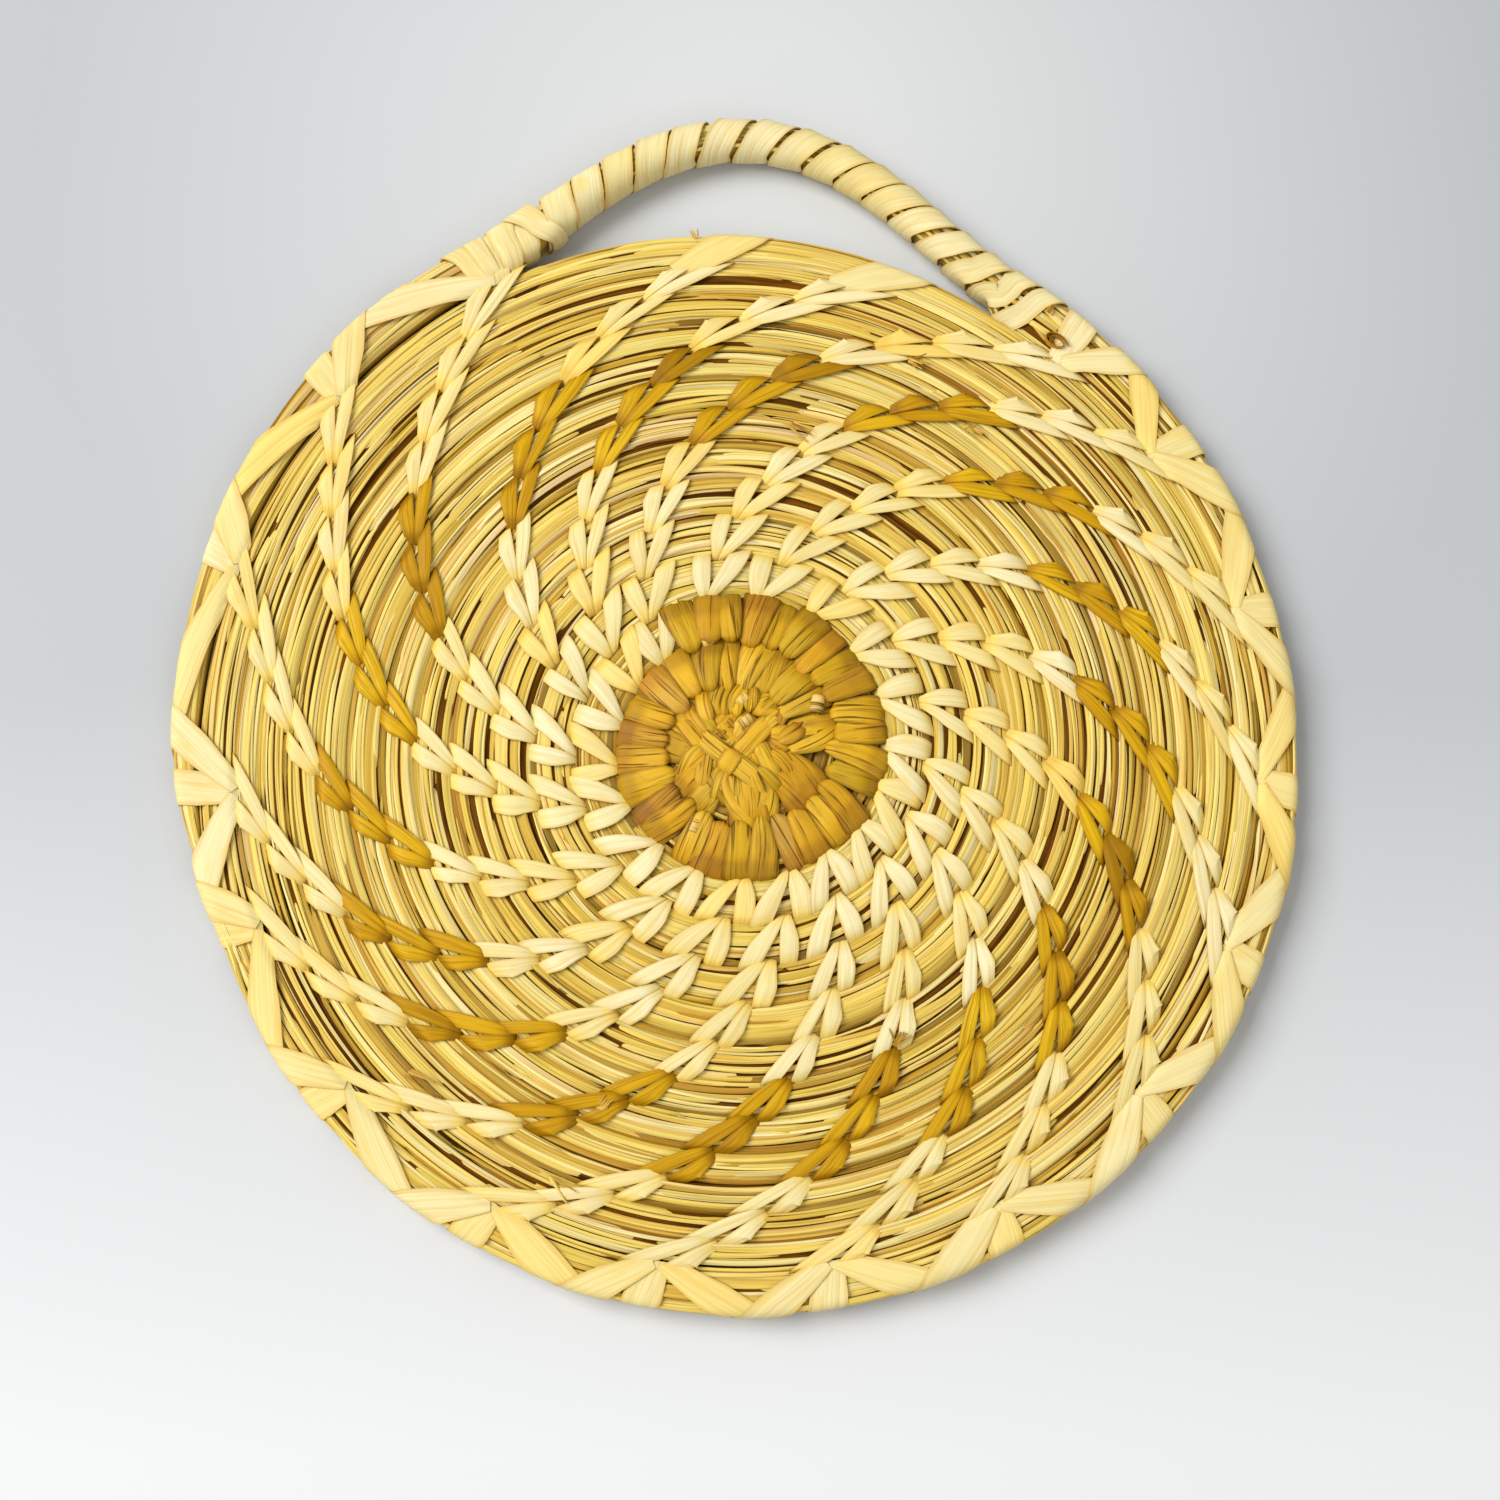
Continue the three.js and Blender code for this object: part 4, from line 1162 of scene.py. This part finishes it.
def band_path(degrees, turn, lift):
    """Points and normals on the handle's bundle, by angle along it and turn round it from outside."""
    centre, out, half_width, half_height = end_section(degrees)
    bound = handle_round(degrees)
    drawn = 1 - DRAWN_BY_WRAP * bound
    power = 2 / blend((BUNDLE_POWER, 2), bound)
    x = signed_power(np.cos(turn), power) * (half_width / drawn + WRAP_OUT + lift)
    z = signed_power(np.sin(turn), power) * (half_height / drawn + WRAP_OUT + lift)
    path = centre + out * x[:, None] + UP * z[:, None]
    path[:, 2] = np.maximum(path[:, 2], LEAST_HEIGHT)
    return path, unit(out * np.cos(turn)[:, None] + UP * np.sin(turn)[:, None])


def add_wraps(weave, rng):
    """The one long strip that is wound round the handle."""
    pitch = (WRAP_TO - WRAP_FROM) / WRAP_TURNS
    marks = np.arange(WRAP_TURNS + 2)
    jitter = np.cumsum(rng.normal(0, WRAP_STRAY, len(marks))) * pitch
    jitter -= np.linspace(0, jitter[-1], len(marks))
    turns = np.linspace(0, WRAP_TURNS, WRAP_TURNS * WRAP_STEPS + 1)
    phi = 2 * np.pi * turns
    slant = np.interp(turns, [0, WRAP_TURNS], WRAP_SLANTS)
    behind = np.floor(turns) + smooth(HALF_TURN, 1, turns % 1)
    slip = behind - slant / (2 * np.pi) * np.cos(phi)
    degrees = WRAP_FROM + pitch * slip + np.interp(turns, marks, jitter)
    path, normal = band_path(degrees, phi, 0.0)
    light = np.interp(turns, marks, np.clip(rng.normal(*WRAP_TONE, len(marks)), 0, 1))
    tone = tone_run(light, WRAP_KIND)
    width = np.interp(turns, [0, WRAP_TURNS], WRAP_WIDTHS)
    width *= np.interp(turns, marks, rng.normal(1, WRAP_WIDTH_SPREAD, len(marks)))
    width *= 1 + WRAP_SPREAD * (1 - smooth(*WRAP_SPREAD_RUN, np.sin(phi)))
    add_strip(weave, path, normal, width, rng, tone, crown=0.1, pleats=0.03, tilt=0.2)


def make_handle(materials):
    rng = np.random.default_rng(21)
    bundle = Weave()
    span = (BUNDLE_FROM, BUNDLE_FROM, TAIL_TO, TAIL_TO)
    for face, lanes in BUNDLE_LANES:
        lay_blades(bundle, rng, end_section, span, handle_run, lanes, face, 0.0, BUNDLE_TONE, BUNDLE_WIDTHS)
    add_core(bundle, end_section, BUNDLE_CORE_FROM, TAIL_TO, BUNDLE_CORE_STEPS)
    wraps = Weave()
    add_wraps(wraps, rng)
    turn = np.linspace(-np.pi, np.pi, BAND_STEPS)
    outer_share = (1 + np.cos(turn)) / 2
    for inner, outer, wide, lift in ROOT_BANDS:
        path, normal = band_path(blend((inner, outer), outer_share), turn, lift)
        width = wide * blend((BAND_INNER_WIDTH, 1), outer_share)
        add_strip(wraps, path, normal, width, rng, (rng.uniform(*BAND_TONES), rng.random()), crown=0.25)
    return (bundle.build("handle_core.bundle", materials["grass"]),
            wraps.build("handle_wrap.strip", materials["cream"]))


# Materials

def linear(red, green, blue):
    """A colour as it looks, in 0 to 255, as the shader needs it."""
    channels = [c / 255 for c in (red, green, blue)]
    return [c / 12.92 if c <= 0.04045 else ((c + 0.055) / 1.055) ** 2.4 for c in channels] + [1.0]


class Shader:
    """A material's nodes, with short calls to add and join them."""

    def __init__(self, name):
        self.material = bpy.data.materials.new(name)
        self.material.use_nodes = True
        self.tree = self.material.node_tree
        self.surface = self.tree.nodes["Principled BSDF"]

    def add(self, kind, **inputs):
        node = self.tree.nodes.new(kind)
        for key, value in inputs.items():
            self.join(value, node.inputs[key.replace("_", " ")])
        return node

    def join(self, value, socket):
        if isinstance(value, bpy.types.NodeSocket):
            self.tree.links.new(value, socket)
        else:
            socket.default_value = value

    def math(self, operation, a, b):
        node = self.tree.nodes.new("ShaderNodeMath")
        node.operation = operation
        self.join(a, node.inputs[0])
        self.join(b, node.inputs[1])
        return node.outputs[0]

    def mix(self, factor, a, b):
        node = self.tree.nodes.new("ShaderNodeMix")
        node.data_type = "RGBA"
        self.join(factor, node.inputs["Factor"])
        self.join(a, node.inputs["A"])
        self.join(b, node.inputs["B"])
        return node.outputs["Result"]

    def ramp(self, factor, stops):
        node = self.tree.nodes.new("ShaderNodeValToRGB")
        points = node.color_ramp.elements
        while len(points) < len(stops):
            points.new(0.5)
        for point, (place, colour) in zip(points, stops):
            point.position = place
            point.color = colour
        self.join(factor, node.inputs["Fac"])
        return node.outputs["Color"]

    def colours(self, factor, stops):
        return self.ramp(factor, [(place, linear(*colour)) for place, colour in stops])

    def share(self, factor, stops):
        """A value for a mix, by stops of place and value."""
        return self.ramp(factor, [(place, (value, value, value, 1)) for place, value in stops])

    def attribute(self, name):
        node = self.tree.nodes.new("ShaderNodeAttribute")
        node.attribute_name = name
        parts = self.add("ShaderNodeSeparateXYZ", Vector=node.outputs["Vector"])
        return parts.outputs

    def streaks(self, strip, across, along, detail=3.0):
        """Noise that is drawn out along the strip."""
        place = self.add("ShaderNodeCombineXYZ", X=self.math("MULTIPLY", strip[0], across),
                         Y=self.math("MULTIPLY", strip[1], along), Z=strip[2])
        noise = self.add("ShaderNodeTexNoise", Vector=place.outputs[0], Scale=1.0, Detail=detail)
        return noise.outputs["Fac"]

    def finish(self, colour, rough, specular=0.5):
        self.join(colour, self.surface.inputs["Base Color"])
        self.surface.inputs["Roughness"].default_value = rough
        self.surface.inputs["Specular IOR Level"].default_value = specular
        return self.material

    def bump(self, height, strength, distance):
        node = self.add("ShaderNodeBump", Height=height, Strength=strength, Distance=distance)
        self.join(node.outputs["Normal"], self.surface.inputs["Normal"])


# Kinds of leaf: colours by lightness, colour of lines and of the painted shade at edges, colour of
# blotches, roughness, lines to a millimetre, strength of the lines, the band of noise that they fade in,
# and colours of single strips
LEAVES = {
    "cream": (
        [(0.0, (212, 176, 78)), (0.3, (230, 202, 112)), (0.6, (218, 203, 142)), (1.0, (226, 216, 175))],
        (198, 156, 60), (222, 186, 86), 0.5, 2.6, 0.28, (0.36, 0.5), None,
    ),
    "gold": (
        [(0.0, (140, 98, 2)), (0.3, (186, 138, 8)), (0.6, (206, 163, 18)), (1.0, (222, 188, 50))],
        (132, 88, 0), (176, 130, 14), 0.45, 2.0, 0.55, (0.36, 0.5), None,
    ),
    "centre": (
        [(0.0, (112, 70, 4)), (0.3, (186, 136, 14)), (0.6, (204, 160, 38)), (1.0, (220, 182, 72))],
        (84, 48, 2), (160, 112, 40), 0.5, 1.7, 0.85, (0.34, 0.43),
        [(0.0, (160, 106, 58)), (0.14, (198, 142, 34)), (0.5, (216, 170, 36)), (0.8, (160, 130, 20)),
         (0.9, (196, 152, 40)), (1.0, (236, 206, 140))],
    ),
}
KINDS_SHARE = 0.5
LEAF_RELIEF = 0.8
# Dry grass: colours by lightness, colours of single blades, and the colours of streaks and of age
STRAW = [
    (0.0, (92, 56, 4)), (0.28, (174, 128, 30)), (0.5, (215, 184, 86)), (0.72, (223, 202, 122)),
    (1.0, (231, 218, 170)),
]
STRAW_KINDS = [
    (0.0, (150, 86, 44)), (0.05, (194, 140, 52)), (0.1, (224, 197, 96)), (0.72, (220, 196, 92)),
    (0.86, (178, 156, 44)), (1.0, (202, 180, 72)),
]
STREAK = (112, 70, 2)
AGED = (184, 124, 40)
# Browns of the coil's core: painted shade for the gaps between the blades
CORE_SHADE = [(0.35, (54, 28, 0)), (0.65, (110, 66, 8))]


def leaf_material(name, tones, dark, blotched, rough, line_scale, line_share, line_band, kinds):
    """Split leaf: fine lines along the strip, soft blotches, a little stain at random and painted edge
    shade.
    """
    shader = Shader(f"{name}_leaf")
    strip = shader.attribute("strip")
    tone = shader.attribute("tone")
    lines = shader.streaks(strip, line_scale, 0.06)
    broad = shader.streaks(strip, 0.9, 0.05)
    blotch = shader.streaks(strip, 0.35, 0.16, 2.0)
    colour = shader.colours(tone[0], tones)
    if kinds:
        colour = shader.mix(KINDS_SHARE, colour, shader.colours(tone[1], kinds))
    layers = [
        (lines, [(line_band[0], line_share), (line_band[1], 0)], dark),
        (broad, [(0.34, 0.25), (0.55, 0)], dark),
        (blotch, [(0.56, 0), (0.76, 0.5)], blotched),
        # Painted shade: the edges of each strip are darkened
        (tone[2], [(0.72, 0), (1.0, 0.6)], dark),
    ]
    for factor, stops, over in layers:
        colour = shader.mix(shader.share(factor, stops), colour, linear(*over))
    relief = [shader.math("MULTIPLY", part, LEAF_RELIEF) for part in (lines, broad)]
    shader.bump(shader.math("ADD", *relief), 0.6, 0.0003)
    return shader.finish(colour, rough, 0.1)


def grass_material():
    """Dry grass: every blade has its own straw, olive or brown, with streaks along it."""
    shader = Shader("grass")
    strip = shader.attribute("strip")
    tone = shader.attribute("tone")
    lines = shader.streaks(strip, 2.4, 0.03)
    broad = shader.streaks(strip, 0.6, 0.02)
    straw = shader.colours(tone[0], STRAW)
    kinds = shader.colours(tone[1], STRAW_KINDS)
    mixed = shader.mix(shader.share(tone[0], [(0.05, 0.18), (0.45, 0.4)]), straw, kinds)
    streaked = shader.mix(shader.share(lines, [(0.34, 0.42), (0.5, 0)]), mixed, linear(*STREAK))
    aged = shader.mix(shader.share(broad, [(0.52, 0), (0.74, 0.6)]), streaked, linear(*AGED))
    shader.bump(lines, 0.4, 0.0002)
    return shader.finish(aged, 0.5, 0.1)


def core_shade_material():
    # The core's dark browns are painted shade in the gaps between the blades
    shader = Shader("grass_core_shade")
    lines = shader.streaks(shader.attribute("strip"), 1.5, 0.05)
    return shader.finish(shader.colours(lines, CORE_SHADE), 0.8, 0.05)


def make_materials():
    materials = {"grass": grass_material(), "core": core_shade_material()}
    for name, looks in LEAVES.items():
        materials[name] = leaf_material(name, *looks)
    return materials


# The stage: the floor and lamps are in metres, the camera's distance and sensor in millimetres

FACE_TILT = 12.8
CAMERA_DISTANCE = 541
FOCAL_PIXELS = 2165
PICTURE = 1500
CENTRE_PIXEL = (740, 745)
SENSOR = 36
NEAREST = 0.01
FLOOR_HALF = 3.0
# The floor's grey, darker from its near side to its far side as painted shade, and a lighter round place
# behind the handle as a painted pool of light
FLOOR_GREYS = [
    (0.0, (0.63, 0.635, 0.645, 1)), (0.55, (0.41, 0.425, 0.44, 1)), (1.0, (0.39, 0.405, 0.42, 1)),
]
FLOOR_FADE = (-0.17, 0.17)
GLOW_GREY = (0.53, 0.54, 0.545, 1)
GLOW_MIDDLE = (0.01, 0.17, 0.0)
GLOW_FADE = (0.03, 0.2)
FLOOR_ROUGH = 0.9
SKY = (1.0, 1.0, 0.97, 1)
SKY_STRENGTH = 0.46
# Name, place, size and power of each lamp
LAMPS = (("key", (-1.45, 0.45, 1.8), 1.5, 65.0), ("fill", (0.9, -1.2, 1.8), 1.4, 13.0))


def make_camera():
    data = bpy.data.cameras.new("camera")
    data.sensor_width = SENSOR
    data.lens = FOCAL_PIXELS / PICTURE * SENSOR
    data.shift_x = (PICTURE / 2 - CENTRE_PIXEL[0]) / PICTURE
    data.shift_y = (CENTRE_PIXEL[1] - PICTURE / 2) / PICTURE
    data.clip_start = NEAREST
    camera = bpy.data.objects.new("camera", data)
    tilt = math.radians(FACE_TILT)
    away = Vector((0, -math.sin(tilt), math.cos(tilt))) * CAMERA_DISTANCE
    camera.location = (away + Vector((0, 0, COIL_TOP))) * METRES
    camera.rotation_euler = (tilt, 0, 0)
    bpy.context.scene.collection.objects.link(camera)
    bpy.context.scene.camera = camera


def make_stage():
    mesh = bpy.data.meshes.new("floor")
    corners = [(x * FLOOR_HALF, y * FLOOR_HALF, 0) for x, y in ((-1, -1), (1, -1), (1, 1), (-1, 1))]
    mesh.from_pydata(corners, [], [(0, 1, 2, 3)])
    floor = bpy.data.objects.new("floor", mesh)
    bpy.context.scene.collection.objects.link(floor)
    shader = Shader("floor")
    place = shader.add("ShaderNodeTexCoord").outputs["Object"]
    parts = shader.add("ShaderNodeSeparateXYZ", Vector=place)
    # Painted light and shade on the floor: a grey that darkens towards the far side and a lighter pool
    # round GLOW_MIDDLE
    fade = shader.add("ShaderNodeMapRange", Value=parts.outputs[1], From_Min=FLOOR_FADE[0],
                      From_Max=FLOOR_FADE[1])
    even = shader.ramp(fade.outputs[0], FLOOR_GREYS)
    away = shader.add("ShaderNodeVectorMath", Vector=place)
    away.operation = "DISTANCE"
    away.inputs[1].default_value = GLOW_MIDDLE
    glow = shader.add("ShaderNodeMapRange", Value=away.outputs["Value"], From_Min=GLOW_FADE[0],
                      From_Max=GLOW_FADE[1])
    colour = shader.mix(glow.outputs[0], GLOW_GREY, even)
    mesh.materials.append(shader.finish(colour, FLOOR_ROUGH))


def make_lights():
    scene = bpy.context.scene
    scene.world = bpy.data.worlds.new("studio")
    scene.world.use_nodes = True
    background = scene.world.node_tree.nodes["Background"]
    background.inputs["Color"].default_value = SKY
    background.inputs["Strength"].default_value = SKY_STRENGTH
    for name, place, size, energy in LAMPS:
        data = bpy.data.lights.new(name, "AREA")
        data.size = size
        data.energy = energy
        lamp = bpy.data.objects.new(name, data)
        lamp.location = place
        lamp.rotation_euler = (-Vector(place)).to_track_quat("-Z", "Y").to_euler()
        scene.collection.objects.link(lamp)
    scene.view_settings.view_transform = "Standard"


def settle(piece, slot, *nodes):
    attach(piece, "root")
    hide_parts(*nodes)


def main():
    materials = make_materials()
    make_camera()
    make_stage()
    make_lights()
    for piece in make_grass(materials):
        settle(piece, "grass", "foundation_coil")
    core = Weave()
    add_core(core, coil_section, COIL_FROM, COIL_TO, CORE_STEPS)
    settle(core.build("grass_core_shade", materials["core"]), "grass", "foundation_coil")
    settle(make_tufts(materials), "grass", "foundation_coil")
    for node, piece in make_chains(materials).items():
        settle(piece, "gold_leaf" if node.endswith("gold") else "cream_leaf", node)
    settle(make_petals(materials), "gold_leaf", "centre_winding")
    settle(make_plait(materials), "gold_leaf", "start_button")
    bundle, wrap = make_handle(materials)
    settle(bundle, "grass", "handle_core")
    settle(wrap, "cream_leaf", "handle_wrap")


main()
